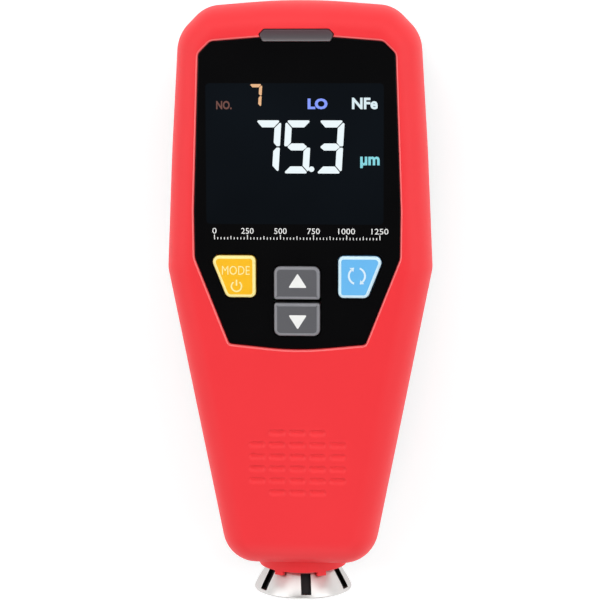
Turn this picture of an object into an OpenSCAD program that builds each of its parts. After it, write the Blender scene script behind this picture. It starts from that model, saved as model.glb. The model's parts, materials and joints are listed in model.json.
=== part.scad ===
// Handheld coating thickness gauge: a two-part moulded case with a recessed window panel,
// four keys, a lit display and a spring-loaded measuring head inside a flared, windowed skirt.
// The gauge lies on its back: +X is right, +Y runs from the probe to the top edge, +Z leaves the display.

/* [Case] */
// Length of the moulded case from its foot to its top edge
case_len = 115.4; // [114:0.1:119]
// Width of the case at its waist, the widest place
waist_w = 54; // [53:0.5:58]
// Width of the case across its top corners
top_w = 49; // [48:0.5:52]
// Width of the foot before its corners are rounded
foot_w = 29.8; // [28.6:0.2:33]
// Height of the waist above the foot
waist_h = 61.4; // [58:0.1:66]
// Depth of the case from its flat back to the crown of its front
case_depth = 28; // [27.5:0.25:31]
// Thickness of the moulded walls
wall = 2; // [1.6:0.1:2.2]
// Height of the widest line of the sides above the back
belt_z = 18.5; // [17.5:0.25:19.5]
// How far the rounded front edge reaches in from the outline
edge_w = 6.2; // [5.6:0.1:6.4]
// How far the rounded back edge reaches in from the outline
back_edge_w = 5.2; // [4:0.1:5.6]
// Height of the rounded back edge
back_edge_h = 5.5; // [4.5:0.1:6]
// Rise of the gentle crown of the front face above its rounded edge
crown = 0.4; // [0.2:0.05:0.6]
// Height of the locating lip along the parting line
lip_h = 1; // [0.6:0.1:1.4]
// Thickness of the locating lip
lip_t = 0.9; // [0.7:0.05:1]

/* [Grip] */
// Number of grip dashes in each row, from the top row down
grip_rows = [3, 5, 5, 5, 5, 3];
// Distance between neighbouring dashes in a row
grip_pitch_x = 4.1; // [3.6:0.1:4.6]
// Distance between neighbouring rows
grip_pitch_y = 2.48; // [2:0.02:3]
// Length of a grip dash
dash_len = 3.1; // [2:0.1:3.4]
// Width of a grip dash
dash_w = 1; // [0.6:0.1:1.2]
// Depth of a grip dash below the crown of the front
dash_depth = 0.5; // [0.4:0.05:0.8]
// Height of the lowest row of dashes above the foot
grip_foot = 16.5; // [15:0.5:20]

/* [Panel and display] */
// Width of the case frame on either side of the panel
frame_w = 6.35; // [6:0.05:7]
// Distance from the top edge of the case to the panel
panel_drop = 7.05; // [6.6:0.05:8]
// Length of the panel from the crest of its top edge to its bottom edge
panel_len = 62.6; // [61:0.1:64]
// Thickness of the panel
panel_t = 1.2; // [0.8:0.1:1.4]
// How far the panel lies below the frame around it
panel_sink = 0.6; // [0.3:0.05:0.9]
// Thickness of the deck that carries the panel
deck_t = 1.6; // [1.2:0.1:1.8]
// Width of the display glass
glass_w = 38; // [36:0.2:38.4]
// Gap between the coloured keys and the display glass
glass_key_gap = 2.3; // [2.1:0.1:3]
// Thickness of the display glass
glass_t = 2.2; // [1.8:0.1:2.4]
// Thickness of the light guide behind the glass
backlight_t = 2.5; // [2:0.1:2.8]
// Width of the glass edge that the deck and the gasket cover
glass_margin = 0.8; // [0.6:0.1:1.2]
// Thickness of the foam gasket between the glass and the deck
gasket_t = 0.3; // [0.2:0.05:0.4]
// Distance from the panel's top edge down to the display glass
glass_drop = 7.6; // [7.4:0.1:8.2]

/* [Keys] */
// Width of the two grey keys
arrow_key_w = 9.2; // [8.4:0.1:9.6]
// Height of each grey key
arrow_key_h = 6.65; // [6:0.05:6.9]
// Gap between the two grey keys
arrow_key_gap = 0.75; // [0.6:0.05:1]
// Distance from the panel's side in to the outer corner of a coloured key
side_key_margin = 3.12; // [2.9:0.02:4]
// Height of a coloured key
side_key_h = 8.45; // [8:0.05:9]
// How far the outer edge of a coloured key leans in towards its foot
side_key_lean = 3.35; // [2.6:0.05:3.5]
// Distance from the middle of the panel to the inner edge of a coloured key
side_key_x = 8.3; // [8:0.02:8.6]
// Height of the foot of the coloured keys above the panel's bottom edge
side_key_y = 10.5; // [10.1:0.05:10.9]
// Height of the foot of the lower grey key above the panel's bottom edge
arrow_key_y = 2.75; // [2.4:0.05:3]
// How far a key stands proud of the panel
key_proud = 0.85; // [0.6:0.05:1.2]
// Width of the bevelled rim of a key
key_rim = 0.55; // [0.3:0.05:0.8]
// Travel of a key
key_travel = 0.5; // [0.3:0.05:0.6]
// Gap between a key and the edge of its opening
key_gap = 0.25; // [0.2:0.05:0.35]
// How far the deck's key openings stand back behind the panel's
deck_relief = 0.25; // [0.1:0.05:0.3]
// How far a key's flange reaches under the deck
flange_w = 0.9; // [0.7:0.05:1.1]
// Thickness of a key's flange
flange_t = 1; // [0.8:0.1:1.2]

/* [Probe] */
// How far the probe tip stands out below the foot of the case
probe_reach = 7.6; // [7.2:0.05:8]
// How far the tip stands out past the rim of the skirt
tip_proud = 0.35; // [0.2:0.05:0.6]
// Radius of the moulded collar round the probe
collar_r = 9.15; // [9:0.05:9.6]
// How far the collar stands out of the foot
collar_len = 2; // [1.6:0.1:2.3]
// Width of the two lugs on the mouth of the collar
lug_w = 1.85; // [1.4:0.05:2.4]
// How far the lugs stand out past the collar
lug_len = 0.8; // [0.5:0.05:1]
// Turn of each lug from the front of the collar
lug_turn = 30; // [24:1:36]
// Radius of the rim of the skirt
rim_r = 10.2; // [9.9:0.05:10.6]
// Radius of the neck of the skirt
neck_r = 7.6; // [7.4:0.05:7.7]
// Wall thickness of the skirt
skirt_t = 0.95; // [0.8:0.05:1]
// Number of windows in the skirt
window_count = 6; // [4:1:8]
// Width of a window
window_w = 2.1; // [1.7:0.1:2.4]
// Turn of the window pattern from the front
window_turn = 8; // [0:1:30]
// Height of the solid rim below the windows
rim_band = 0.8; // [0.6:0.1:1.2]
// How far the guide's end lies inside the rim of the skirt
guide_sink = 0.95; // [0.7:0.05:1.6]
// Travel of the measuring head
probe_travel = 1.5; // [1:0.1:2]
// Radius of the moving carrier
carrier_r = 4.1; // [3.8:0.05:4.3]
// Radius of the steel pole
pole_r = 1.5; // [1.2:0.05:1.6]
// Wire diameter of the return spring
spring_wire = 0.5; // [0.4:0.05:0.6]
// Number of turns of the return spring
spring_turns = 5; // [4:1:6]

/* [Cells] */
// Diameter of an AAA cell
cell_d = 10.5; // [10.1:0.1:10.5]
// Length of an AAA cell over its cap
cell_len = 44.5; // [43.5:0.1:44.5]
// Gap between the two cells
cell_gap = 0.5; // [0.3:0.1:0.8]
// Room for the contacts, at both ends together
contact_room = 5.4; // [5:0.1:6]
// Thickness of the battery cover
cover_t = 1.9; // [1.6:0.1:2]
// Distance from the top edge of the case down to the battery bay
bay_drop = 8.5; // [8:0.1:9.5]

/* [Fasteners] */
// Radius of a case screw's shank
screw_r = 1; // [0.8:0.05:1.1]
// Radius of a case screw's head
screw_head_r = 2; // [1.8:0.05:2.2]
// Height of a case screw's head
screw_head_h = 1.6; // [1.2:0.1:2]
// Depth of the case screws' seats below the back
screw_sink = 6; // [5:0.1:6.5]
// Radius of a board screw's head
board_screw_r = 1.5; // [1.3:0.05:1.7]

/* [Clearances] */
// Gap between pieces that are put together and then stay still
fit = 0.1; // [0.05:0.01:0.15]
// Gap between pieces that slide on each other
slide = 0.15; // [0.1:0.01:0.2]

/* [Hidden] */

$fn = 48;

// Places along the length
y_top = (case_len + probe_reach) / 2;
y_foot = y_top - case_len;
y_waist = y_foot + waist_h;
panel_top = y_top - panel_drop;
panel_foot = panel_top - panel_len;
deck_foot = panel_foot - wall;

// Heights above the back
part_z = 13;
probe_z = part_z;
frame_z = case_depth - crown;
panel_z = frame_z - panel_sink;
deck_z = panel_z - panel_t;
deck_under = deck_z - deck_t;
glass_z = deck_under - gasket_t;
backlight_z = glass_z - glass_t;
board_z = backlight_z - backlight_t;

// Case outline: corners, their radii and the number of steps round each
corner_w = 5.6;
corner_h = 6.8;
top_arch = 1.1;
top_crest = 0.36;
side_bulge = 0.2;
case_half = [
    [0, y_top + top_crest],
    [top_w / 2 - corner_w, y_top - top_arch],
    [top_w / 2, y_top - corner_h],
    [(top_w + waist_w) / 4 + side_bulge, (y_top - corner_h + y_waist) / 2],
    [waist_w / 2, y_waist],
    [foot_w / 2, y_foot]
];
case_radii = [crest_r(top_crest, top_arch, top_w / 2 - corner_w), 7, 8, 300, 6, 7.2];
case_steps = [6, 5, 5, 2, 3, 7];
draft = 0.3;
back_draft = 0.9;
edge_power = 2.3;
crown_share = [0.45, 0.5];
edge_steps = 6;
sharp = 0.3;

// Panel outline, from its top crest round to the crest of its bottom edge
panel_half_w = waist_w / 2 - frame_w;
panel_arch = 1.05;
panel_crest = 0.3;
panel_shoulder_w = 2.45;
panel_shoulder_h = 2.4;
panel_side_taper = 1.1;
panel_foot_taper = 6.95;
panel_wide_h = 28;
panel_waist_h = 18.4;
panel_waist_taper = 0.1;
panel_corner_x = panel_half_w - panel_side_taper - panel_shoulder_w;
panel_foot_x = panel_half_w - panel_foot_taper;
panel_half = [
    [0, panel_top + panel_crest],
    [panel_corner_x, panel_top - panel_arch],
    [panel_corner_x + panel_shoulder_w, panel_top - panel_arch - panel_shoulder_h],
    [panel_half_w, panel_foot + panel_wide_h],
    [panel_half_w - panel_waist_taper, panel_foot + panel_waist_h],
    [panel_foot_x, panel_foot + panel_arch],
    [0, panel_foot - panel_crest]
];
panel_radii = [
    crest_r(panel_crest, panel_arch, panel_corner_x), 1.6, 1.6, 40, 3, 0.8,
    crest_r(panel_crest, panel_arch, panel_foot_x)
];
panel_steps = [4, 4, 4, 3, 4, 3, 4];

// Lens outline
lens_top = panel_top + 1.4;
lens_mid = panel_top + 0.4;
lens_foot = panel_top - 1;
lens_top_w = 12.9;
lens_mid_w = 14.9;
lens_foot_w = 13.4;
lens_half = [
    [lens_top_w / 2, lens_top],
    [lens_mid_w / 2, lens_mid],
    [lens_foot_w / 2, lens_foot]
];
lens_radii = [0.4, 0.3, 0.4];
lens_rise = 0.45;
lens_edge = 0.3;
lens_sink = 0.6;
lens_seat_z = deck_z - lens_sink;
light_pipe_w = 4;
light_pipe_t = 1.4;

// Display
glass_h = panel_len - glass_drop - glass_key_gap - side_key_h - side_key_y;
glass_top = panel_top - glass_drop;
glass_foot = glass_top - glass_h;
strip_h = 1.6;
lcd_wall = 0.8;

// Keys
side_key_w = panel_half_w - side_key_margin - side_key_x;
side_key_radii = [1.1, 1.3, 1.3, 1.1];
arrow_far_r = 1.3;
arrow_near_r = 0.5;
arrow_key_radii = [arrow_far_r, arrow_far_r, arrow_near_r, arrow_near_r];
key_z = panel_z + key_proud;
flange_z = deck_under - fit - flange_t;
switch_h = 1.4;
switch_w = 4.6;
stem_r = 1.5;
arrow_y0 = panel_foot + arrow_key_y;
arrow_step = arrow_key_h + arrow_key_gap;
side_y0 = panel_foot + side_key_y;
side_key_mid = [side_key_x + (side_key_w - side_key_lean / 2) / 2, side_y0 + side_key_h / 2];
switch_places = [
    [-side_key_mid[0], side_key_mid[1]],
    side_key_mid,
    [0, arrow_y0 + arrow_key_h / 2],
    [0, arrow_y0 + arrow_step + arrow_key_h / 2]
];

// Case screws: the upper pair beside the battery bay, the lower pair beside the probe
screw_side = 6;
screw_drop = 10;
screw_foot_side = 3.6;
screw_foot_y = 13.9;
case_screw_places = [
    for (side = [-1, 1]) each [
        [side * (top_w / 2 - screw_side), y_top - screw_drop],
        [side * (foot_w / 2 - screw_foot_side), y_foot + screw_foot_y]
    ]
];
boss_r = screw_head_r + 1.2;
pilot_r = screw_r + fit / 2;
screw_end_z = deck_under - 4;
drive_w = 0.5;
drive_len = 2.4;
drive_depth = 0.8;

// Probe: heights run out along the probe axis from the foot of the case
tip_h = probe_reach;
rim_h = probe_reach - tip_proud;
lug_root = 0.5;
lug_gap = 0.6;
lug_inset = 0.1;
seat_back = 7.5;
seat_r = collar_r + 1.6;
groove_r = neck_r + 1.9;
groove_front = 2.5;
collar_flange_t = 1.4;
groove_back = groove_front + 2 * collar_flange_t + 3 * fit;
sleeve_flange_front = -groove_front - fit;
guide_flange_front = sleeve_flange_front - collar_flange_t - fit;
sleeve_back = sleeve_flange_front - collar_flange_t;
guide_r = neck_r - skirt_t - fit;
guide_front = rim_h - guide_sink;
guide_back = -19;
cap_t = 1.5;
stop_h = -8;
stop_t = 1.5;
stop_r = carrier_r + 1;
guide_wide_r = stop_r + slide;
carrier_front = guide_front;
tail_r = pole_r + 0.8;
tail_back = guide_back + probe_travel + 1.5;
coil_r = carrier_r - 0.4;
coil_in = pole_r + 0.7;
coil_front = carrier_front - 0.8;
coil_back = coil_front - 4;
spring_mid_r = (guide_wide_r + tail_r) / 2;
lead_r = 0.8;

// Battery bay and cover
cell_x = (cell_d + cell_gap) / 2;
bay_w = 2 * cell_d + cell_gap + 4 * slide;
bay_top = y_top - bay_drop;
bay_foot = bay_top - cell_len - contact_room;
cover_z = 0.15;
cover_floor = cover_z + cover_t + fit;
cell_z = cover_floor + slide + cell_d / 2;
bay_ceiling = cell_z + cell_d / 2 + slide;
bay_wall = 1.2;
cover_half_w = bay_w / 2 + 2.2;
cover_foot = bay_foot - 3.5;
tongue_w = 1;
tongue_t = 0.8;
tongue_z = cover_floor - fit - tongue_t;
rib_count = 6;
rib_w = 14;
rib_t = 1;
rib_depth = 0.5;
contact_t = 0.4;
contact_w = 8;
contact_share = 0.8;
contact_wire = 0.5;
contact_turns = 3;
contact_wide_r = 3.6;
contact_narrow_r = 1.8;
cell_foot = bay_foot + contact_room - 2 * contact_t;
cell_edge = 0.4;
cell_shoulder = 1;
cell_cap_r = 1.9;
cell_cap_edge = 0.2;

// Board, its screws and what it carries, clear of the battery bay
board_t = 1.6;
board_rise = 24.9;
board_edge = 1.2;
board_foot = y_foot + board_rise;
board_inset = wall + board_edge;
board_boss_r = 1.8;
board_hole_r = 1;
board_shank_r = 0.75;
board_pilot_r = 0.8;
board_screw_head_h = 1;
board_screw_grip = 3;
board_screw_x = 11.5;
board_screw_side = 6;
board_screw_foot_x = 13;
board_screw_foot_y = 4;
board_screw_places = [
    for (side = [-1, 1]) each [
        [side * board_screw_x, bay_top + bay_wall + board_screw_r + 2 * fit],
        [side * (waist_w / 2 - board_screw_side), side_y0 + side_key_h / 2],
        [side * board_screw_foot_x, board_foot + board_screw_foot_y]
    ]
];
board_gap = 2.65;
connector = [6, 5, 3.4];
connector_rise = 4.5;
connector_y = board_foot + connector_rise;
beeper_r = 6;
beeper_t = 4;
beeper_hole_r = 1;
beeper_y = connector_y + connector[1] + board_gap + beeper_r;
main_chip = [10, 10, 1.2];
amplifier_chip = [6, 5, 1.1];
memory_chip = [6, 3.5, 1];
chip_x = 12.5;
chip_step = 3.75;
chips = [
    [chip_x, beeper_y, main_chip],
    [-chip_x, beeper_y + chip_step, amplifier_chip],
    [-chip_x, beeper_y - chip_step, memory_chip]
];
led = [3.2, 1.6, 0.5];
led_dome = [2.2, 1.6, 0.6];
led_room = 1.4;
lead_steps = 9;
lead_straight = 0.2;

// Colours
shell_red = "#e23a3f";
dark_grey = "#3a3b3e";
panel_black = "#141416";
chrome = "#d9dbde";
steel = "#b9bcc0";
board_green = "#1f6b3c";
black_plastic = "#222326";

function unit(v) = v / norm(v);

// Radius of a crest that is rounded down by rise, where its sides fall by drop over run
function crest_r(rise, drop, run) = rise / (1 / cos(atan((drop + rise) / run)) - 1);

// Inward normal of an edge of a loop that runs clockwise
function inward(a, b) = let (d = unit(b - a)) [d[1], -d[0]];

function mirrored(half) = concat(half, [
    for (i = [len(half) - 1:-1:0]) if (half[i][0] > 0) [-half[i][0], half[i][1]]
]);

// Values that belong to the corners of a half outline, repeated for its mirrored corners
function mirrored_values(half, values) = concat(values, [
    for (i = [len(half) - 1:-1:0]) if (half[i][0] > 0) values[i]
]);

// Corner between edges a-b and b-c after both edges move in by d
function moved_corner(a, b, c, d) =
    let (n = inward(a, b), m = inward(b, c)) b + (n + m) * d / (1 + n * m);

function inset(loop, d) = let (n = len(loop)) [
    for (i = [0:n - 1]) moved_corner(loop[(i + n - 1) % n], loop[i], loop[(i + 1) % n], d)
];

// Points of the arc that rounds corner b
function arc(a, b, c, r, steps) =
    let (
        u = unit(b - a),
        v = unit(c - b),
        turn = acos(min(1, u * v)),
        n = inward(a, b),
        start = b - u * r * tan(turn / 2),
        centre = start + n * r
    )
    [for (k = [0:steps]) let (t = -turn * k / steps)
        centre - r * [n[0] * cos(t) - n[1] * sin(t), n[0] * sin(t) + n[1] * cos(t)]];

function rounded(loop, radii, steps) = let (n = len(loop)) [
    for (i = [0:n - 1])
        each arc(loop[(i + n - 1) % n], loop[i], loop[(i + 1) % n], radii[i], steps[i])
];

// Outline of a mirrored shape, moved in by d, with its corners rounded
function ring(half, radii, steps, d) = rounded(
    inset(mirrored(half), d),
    [for (r = mirrored_values(half, radii)) max(r - d, sharp)],
    mirrored_values(half, steps)
);

function case_ring(d) = ring(case_half, case_radii, case_steps, d);
function panel_ring(d) = ring(panel_half, panel_radii, panel_steps, d);
function lens_ring(d) = ring(lens_half, lens_radii, [2, 2, 2], d);

function raised(loop, z) = [for (p = loop) [p[0], p[1], z]];

// Part of a rounded edge, from the side at t = 0 to the flat at t = 90
function edge_in(t) = 1 - pow(cos(t), 2 / edge_power);
function edge_up(t) = pow(sin(t), 2 / edge_power);

front_outer = [
    [part_z, draft],
    for (k = [0:edge_steps]) let (t = 90 * k / edge_steps)
        [belt_z + (frame_z - belt_z) * edge_up(t), edge_w * edge_in(t)]
];
front_inner = [
    [part_z - 1, draft + wall],
    for (k = [0:edge_steps - 2]) let (t = 90 * k / (edge_steps - 2))
        [belt_z + (frame_z - wall - belt_z) * edge_up(t), wall + (edge_w - wall / 2) * edge_in(t)]
];
rear_outer = [
    for (k = [edge_steps:-1:0]) let (t = 90 * k / edge_steps)
        [back_edge_h * (1 - edge_up(t)), back_draft + back_edge_w * edge_in(t)],
    [part_z, draft]
];
rear_inner = [
    for (k = [edge_steps - 2:-1:0]) let (t = 90 * k / (edge_steps - 2))
        [wall + (back_edge_h - wall) * (1 - edge_up(t)),
         back_draft + wall + (back_edge_w - wall / 2) * edge_in(t)],
    [part_z + 1, draft + wall]
];

// Solid through a stack of rings with the same number of points
module loft(rings) {
    n = len(rings[0]);
    last = len(rings) - 1;
    points = [for (r = rings) each r];
    sides = [for (j = [0:last - 1]) for (i = [0:n - 1]) let (k = (i + 1) % n) each [
        [j * n + i, (j + 1) * n + i, (j + 1) * n + k],
        [j * n + i, (j + 1) * n + k, j * n + k]
    ]];
    floor_face = [for (i = [0:n - 1]) i];
    roof_face = [for (i = [n - 1:-1:0]) last * n + i];
    polyhedron(points, concat([[for (i = [n - 1:-1:0]) floor_face[i]]],
        [for (f = sides) [f[2], f[1], f[0]]], [[for (i = [n - 1:-1:0]) roof_face[i]]]));
}

// Solid through the case outline at each [height, inset] level
module case_loft(levels) loft([for (l = levels) raised(case_ring(l[1]), l[0])]);

module front_outer_form() {
    crown_ring = [for (p = case_ring(edge_w)) [p[0] * crown_share[0], p[1] * crown_share[1], case_depth]];
    loft(concat([for (l = front_outer) raised(case_ring(l[1]), l[0])], [crown_ring]));
}

// Places a shape drawn along +Z on the probe axis, with +Z running out of the foot
module on_probe_axis() translate([0, y_foot, probe_z]) rotate([90, 0, 0]) children();

module tube_on_axis(outer, from, to) on_probe_axis()
    translate([0, 0, from]) cylinder(r = outer, h = to - from);

// Half space above or below the parting plane
module above_parting() translate([-100, -100, part_z]) cube([200, 200, 60]);
module below_parting() translate([-100, -100, part_z - 60]) cube([200, 200, 60]);

// Bore and groove that hold the skirt and the guide in the foot of the case
module probe_bore() {
    tube_on_axis(neck_r + 2 * fit, -seat_back - 1, collar_len + 1);
    tube_on_axis(groove_r, -groove_back, -groove_front);
}

module probe_seat() {
    tube_on_axis(seat_r, -seat_back, -wall);
    tube_on_axis(collar_r, -wall, collar_len);
}

// Lugs on the front of the collar's mouth, clear of the skirt
module collar_lugs() on_probe_axis() for (side = [-1, 1]) rotate([0, 0, 90 + side * lug_turn])
    translate([0, 0, collar_len - lug_root]) intersection() {
        cylinder(r = collar_r - lug_inset, h = lug_root + lug_len);
        translate([neck_r + lug_gap, -lug_w / 2, 0]) cube([collar_r, lug_w, lug_root + lug_len]);
    }

module key_openings(gap) {
    for (side = [0, 1]) mirror([side, 0, 0]) polygon(side_key_loop(-gap));
    polygon(arrow_pair_loop(gap));
}

module grip_dash() {
    straight = dash_len - dash_w;
    translate([-straight / 2, -dash_w / 2, 0]) cube([straight, dash_w, 3]);
    for (side = [-1, 1]) translate([side * straight / 2, 0, 0]) cylinder(d = dash_w, h = 3, $fn = 24);
}

module grip_pattern() {
    last = len(grip_rows) - 1;
    for (row = [0:last], column = [0:grip_rows[row] - 1])
        translate([
            (column - (grip_rows[row] - 1) / 2) * grip_pitch_x,
            y_foot + grip_foot + (last - row) * grip_pitch_y,
            case_depth - dash_depth
        ]) grip_dash();
}

module front_housing() color(shell_red) difference() {
    union() {
        difference() {
            union() {
                front_outer_form();
                intersection() {
                    tube_on_axis(collar_r, -wall, collar_len);
                    above_parting();
                }
                collar_lugs();
            }
            case_loft(front_inner);
        }
        translate([0, 0, deck_under]) linear_extrude(deck_t) intersection() {
            polygon(case_ring(wall + 0.8));
            translate([-waist_w, deck_foot]) square([2 * waist_w, case_len]);
        }
        intersection() {
            probe_seat();
            above_parting();
        }
        for (p = case_screw_places) translate([p[0], p[1], part_z])
            cylinder(r = boss_r - 0.4, h = frame_z - wall + 0.2 - part_z);
        for (p = board_screw_places) translate([p[0], p[1], board_z])
            cylinder(r = board_boss_r, h = frame_z - wall + 0.2 - board_z);
    }
    translate([0, 0, deck_z]) linear_extrude(10) polygon(panel_ring(-fit));
    translate([0, 0, lens_seat_z]) linear_extrude(10) polygon(lens_ring(-fit));
    translate([-light_pipe_w / 2 - fit, panel_top - light_pipe_t / 2 - fit, deck_under - 1])
        cube([light_pipe_w + 2 * fit, light_pipe_t + 2 * fit, 5]);
    translate([0, 0, deck_under - 1]) linear_extrude(deck_t + 2) {
        key_openings(key_gap + deck_relief);
        translate([-glass_w / 2 + glass_margin, glass_foot + strip_h + glass_margin])
            square([glass_w - 2 * glass_margin, glass_h - strip_h - 2 * glass_margin]);
    }
    translate([0, 0, part_z - 1]) linear_extrude(lip_h + fit + 1) difference() {
        polygon(case_ring(draft + wall - lip_t - fit));
        polygon(case_ring(draft + wall + 1));
        translate([-seat_r, y_foot - 1]) square([2 * seat_r, wall + 2]);
    }
    for (p = case_screw_places) translate([p[0], p[1], part_z - 1])
        cylinder(r = pilot_r, h = screw_end_z + 2 - part_z);
    for (p = board_screw_places) translate([p[0], p[1], board_z - 1])
        cylinder(r = board_pilot_r, h = board_screw_grip + 1.5);
    probe_bore();
    grip_pattern();
}

module rear_housing() color(dark_grey) difference() {
    union() {
        difference() {
            union() {
                case_loft(rear_outer);
                intersection() {
                    tube_on_axis(collar_r, -wall, collar_len);
                    below_parting();
                }
            }
            case_loft(rear_inner);
        }
        translate([0, 0, part_z - 1]) linear_extrude(lip_h + 1) difference() {
            polygon(case_ring(draft + wall - lip_t));
            polygon(case_ring(draft + wall + 0.05));
            translate([-seat_r - fit, y_foot - 1]) square([2 * seat_r + 2 * fit, wall + 2]);
        }
        intersection() {
            probe_seat();
            below_parting();
        }
        for (p = case_screw_places) translate([p[0], p[1], wall / 2])
            cylinder(r = boss_r, h = part_z - wall / 2);
        battery_trough();
    }
    cover_channel();
    translate([-bay_w / 2, bay_foot, -1]) cube([bay_w, bay_top - bay_foot, bay_ceiling + 1]);
    for (p = case_screw_places) translate([p[0], p[1], -1]) {
        cylinder(r = screw_head_r + 2 * fit, h = screw_sink + 1);
        cylinder(r = screw_r + 2 * fit, h = part_z + 2);
    }
    probe_bore();
}

// Moulded trough round the cells, with the floor that the cover slides along
module battery_trough() {
    translate([-bay_w / 2 - bay_wall, bay_foot - bay_wall, wall / 2])
        cube([bay_w + 2 * bay_wall, bay_top - bay_foot + 2 * bay_wall, bay_ceiling + bay_wall - wall / 2]);
    intersection() {
        case_loft(rear_outer);
        translate([-cover_half_w - tongue_w - bay_wall - fit, cover_foot - bay_wall, 0])
            cube([2 * (cover_half_w + tongue_w + bay_wall + fit), case_len, cover_floor + bay_wall]);
    }
}

// Space that the cover slides in, open at the top edge of the case
module cover_channel() {
    reach = case_len;
    translate([-cover_half_w - slide, cover_foot - slide, -1])
        cube([2 * (cover_half_w + slide), reach, cover_floor + 1]);
    translate([-cover_half_w - tongue_w - slide, cover_foot - slide, tongue_z - fit])
        cube([2 * (cover_half_w + tongue_w + slide), reach, tongue_t + 2 * fit]);
}

module battery_cover() color(dark_grey) difference() {
    intersection() {
        case_loft(rear_outer);
        union() {
            translate([-cover_half_w, cover_foot, cover_z]) cube([2 * cover_half_w, case_len, cover_t]);
            translate([-cover_half_w - tongue_w, cover_foot, tongue_z])
                cube([2 * (cover_half_w + tongue_w), case_len, tongue_t]);
        }
    }
    for (row = [0:rib_count - 1]) let (w = rib_w - row)
        translate([-w / 2, cover_foot + 4 + row * 2 * rib_t, -1]) cube([w, rib_t, 1 + cover_z + rib_depth]);
}

module front_panel() color(panel_black) translate([0, 0, deck_z]) linear_extrude(panel_t) difference() {
    polygon(panel_ring(0));
    polygon(lens_ring(-fit));
    key_openings(key_gap);
}

module indicator_lens() color("#8f8489") {
    loft([
        raised(lens_ring(0), lens_seat_z),
        raised(lens_ring(0), panel_z + lens_rise - lens_edge),
        raised(lens_ring(lens_edge), panel_z + lens_rise)
    ]);
    translate([-light_pipe_w / 2, panel_top - light_pipe_t / 2, board_z + led_room])
        cube([light_pipe_w, light_pipe_t, lens_seat_z - board_z - led_room]);
}

// Outline of the right-hand coloured key, moved in by d
function side_key_loop(d) =
    let (
        x = side_key_x,
        loop = [
            [x, side_y0 + side_key_h],
            [x + side_key_w, side_y0 + side_key_h],
            [x + side_key_w - side_key_lean, side_y0],
            [x, side_y0]
        ]
    )
    rounded(inset(loop, d), [for (r = side_key_radii) max(r - d, sharp)], [4, 4, 4, 4]);

// Outline of a grey key whose rounded corners are at its far edge, moved in by d
function arrow_key_loop(d) =
    let (
        x = arrow_key_w / 2,
        loop = [[-x, arrow_key_h], [x, arrow_key_h], [x, 0], [-x, 0]]
    )
    rounded(inset(loop, d), [for (r = arrow_key_radii) max(r - d, sharp)], [4, 4, 4, 4]);

// Outline of the opening round both grey keys, moved out by gap
function arrow_pair_loop(gap) =
    let (
        x = arrow_key_w / 2,
        top = arrow_y0 + arrow_step + arrow_key_h,
        loop = [[-x, top], [x, top], [x, arrow_y0], [-x, arrow_y0]]
    )
    rounded(inset(loop, -gap), [for (k = [0:3]) arrow_far_r + gap], [4, 4, 4, 4]);

module key_stem() {
    stem_end = board_z + switch_h + key_travel + fit;
    translate([0, 0, stem_end]) cylinder(r = stem_r, h = flange_z + 0.2 - stem_end);
}

module side_key() {
    loft([
        raised(side_key_loop(0), flange_z + flange_t - 0.2),
        raised(side_key_loop(0), key_z - 0.5),
        raised(side_key_loop(key_rim * 0.35), key_z - 0.15),
        raised(side_key_loop(key_rim), key_z)
    ]);
    translate([0, 0, flange_z]) linear_extrude(flange_t) polygon(side_key_loop(-flange_w));
    translate([side_key_mid[0], side_key_mid[1], 0]) key_stem();
}

module arrow_key() {
    loft([
        raised(arrow_key_loop(0), flange_z + flange_t - 0.2),
        raised(arrow_key_loop(0), key_z - 0.5),
        raised(arrow_key_loop(key_rim * 0.35), key_z - 0.15),
        raised(arrow_key_loop(key_rim), key_z)
    ]);
    translate([-arrow_key_w / 2 - flange_w, 0, flange_z])
        cube([arrow_key_w + 2 * flange_w, arrow_key_h + flange_w, flange_t]);
    translate([0, arrow_key_h / 2, 0]) key_stem();
}

module mode_key() color("#f2b81f") mirror([1, 0, 0]) side_key();
module zero_key() color("#6cb8ee") side_key();
module up_key() color("#606166") translate([0, arrow_y0 + arrow_step, 0]) arrow_key();
module down_key() color("#606166")
    translate([0, arrow_y0 + arrow_key_h, 0]) mirror([0, 1, 0]) arrow_key();

module case_screws() color(steel) for (p = case_screw_places) translate([p[0], p[1], 0]) difference() {
    union() {
        translate([0, 0, screw_sink - screw_head_h]) cylinder(r = screw_head_r, h = screw_head_h);
        translate([0, 0, screw_sink - 0.1]) cylinder(r = screw_r, h = screw_end_z - screw_sink);
    }
    for (turn = [0, 90]) rotate([0, 0, turn]) translate([-drive_len / 2, -drive_w / 2, 0])
        cube([drive_len, drive_w, screw_sink - screw_head_h + drive_depth]);
}

module main_board() color(board_green) translate([0, 0, board_z - board_t]) linear_extrude(board_t)
    difference() {
        intersection() {
            polygon(case_ring(board_inset));
            translate([-waist_w, board_foot]) square([2 * waist_w, case_len]);
        }
        for (p = case_screw_places) translate(p) circle(r = boss_r + 0.4);
        for (p = board_screw_places) translate(p) circle(r = board_hole_r);
    }

module board_screws() color(steel) for (p = board_screw_places) translate([p[0], p[1], board_z - board_t]) {
    translate([0, 0, -board_screw_head_h]) cylinder(r = board_screw_r, h = board_screw_head_h);
    translate([0, 0, -0.1]) cylinder(r = board_shank_r, h = board_t + board_screw_grip);
}

module lcd_glass() color("#1b2530") translate([-glass_w / 2, glass_foot, backlight_z]) {
    cube([glass_w, glass_h, glass_t / 2]);
    translate([0, strip_h + 0.4, glass_t / 2 - 0.05])
        cube([glass_w, glass_h - strip_h - 0.4, glass_t / 2 + 0.05]);
}

module backlight_panel() color("#e9ecee")
    translate([-glass_w / 2 + fit, glass_foot + strip_h + 2 * fit, board_z])
        cube([glass_w - 2 * fit, glass_h - strip_h - 3 * fit, backlight_t]);

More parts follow.
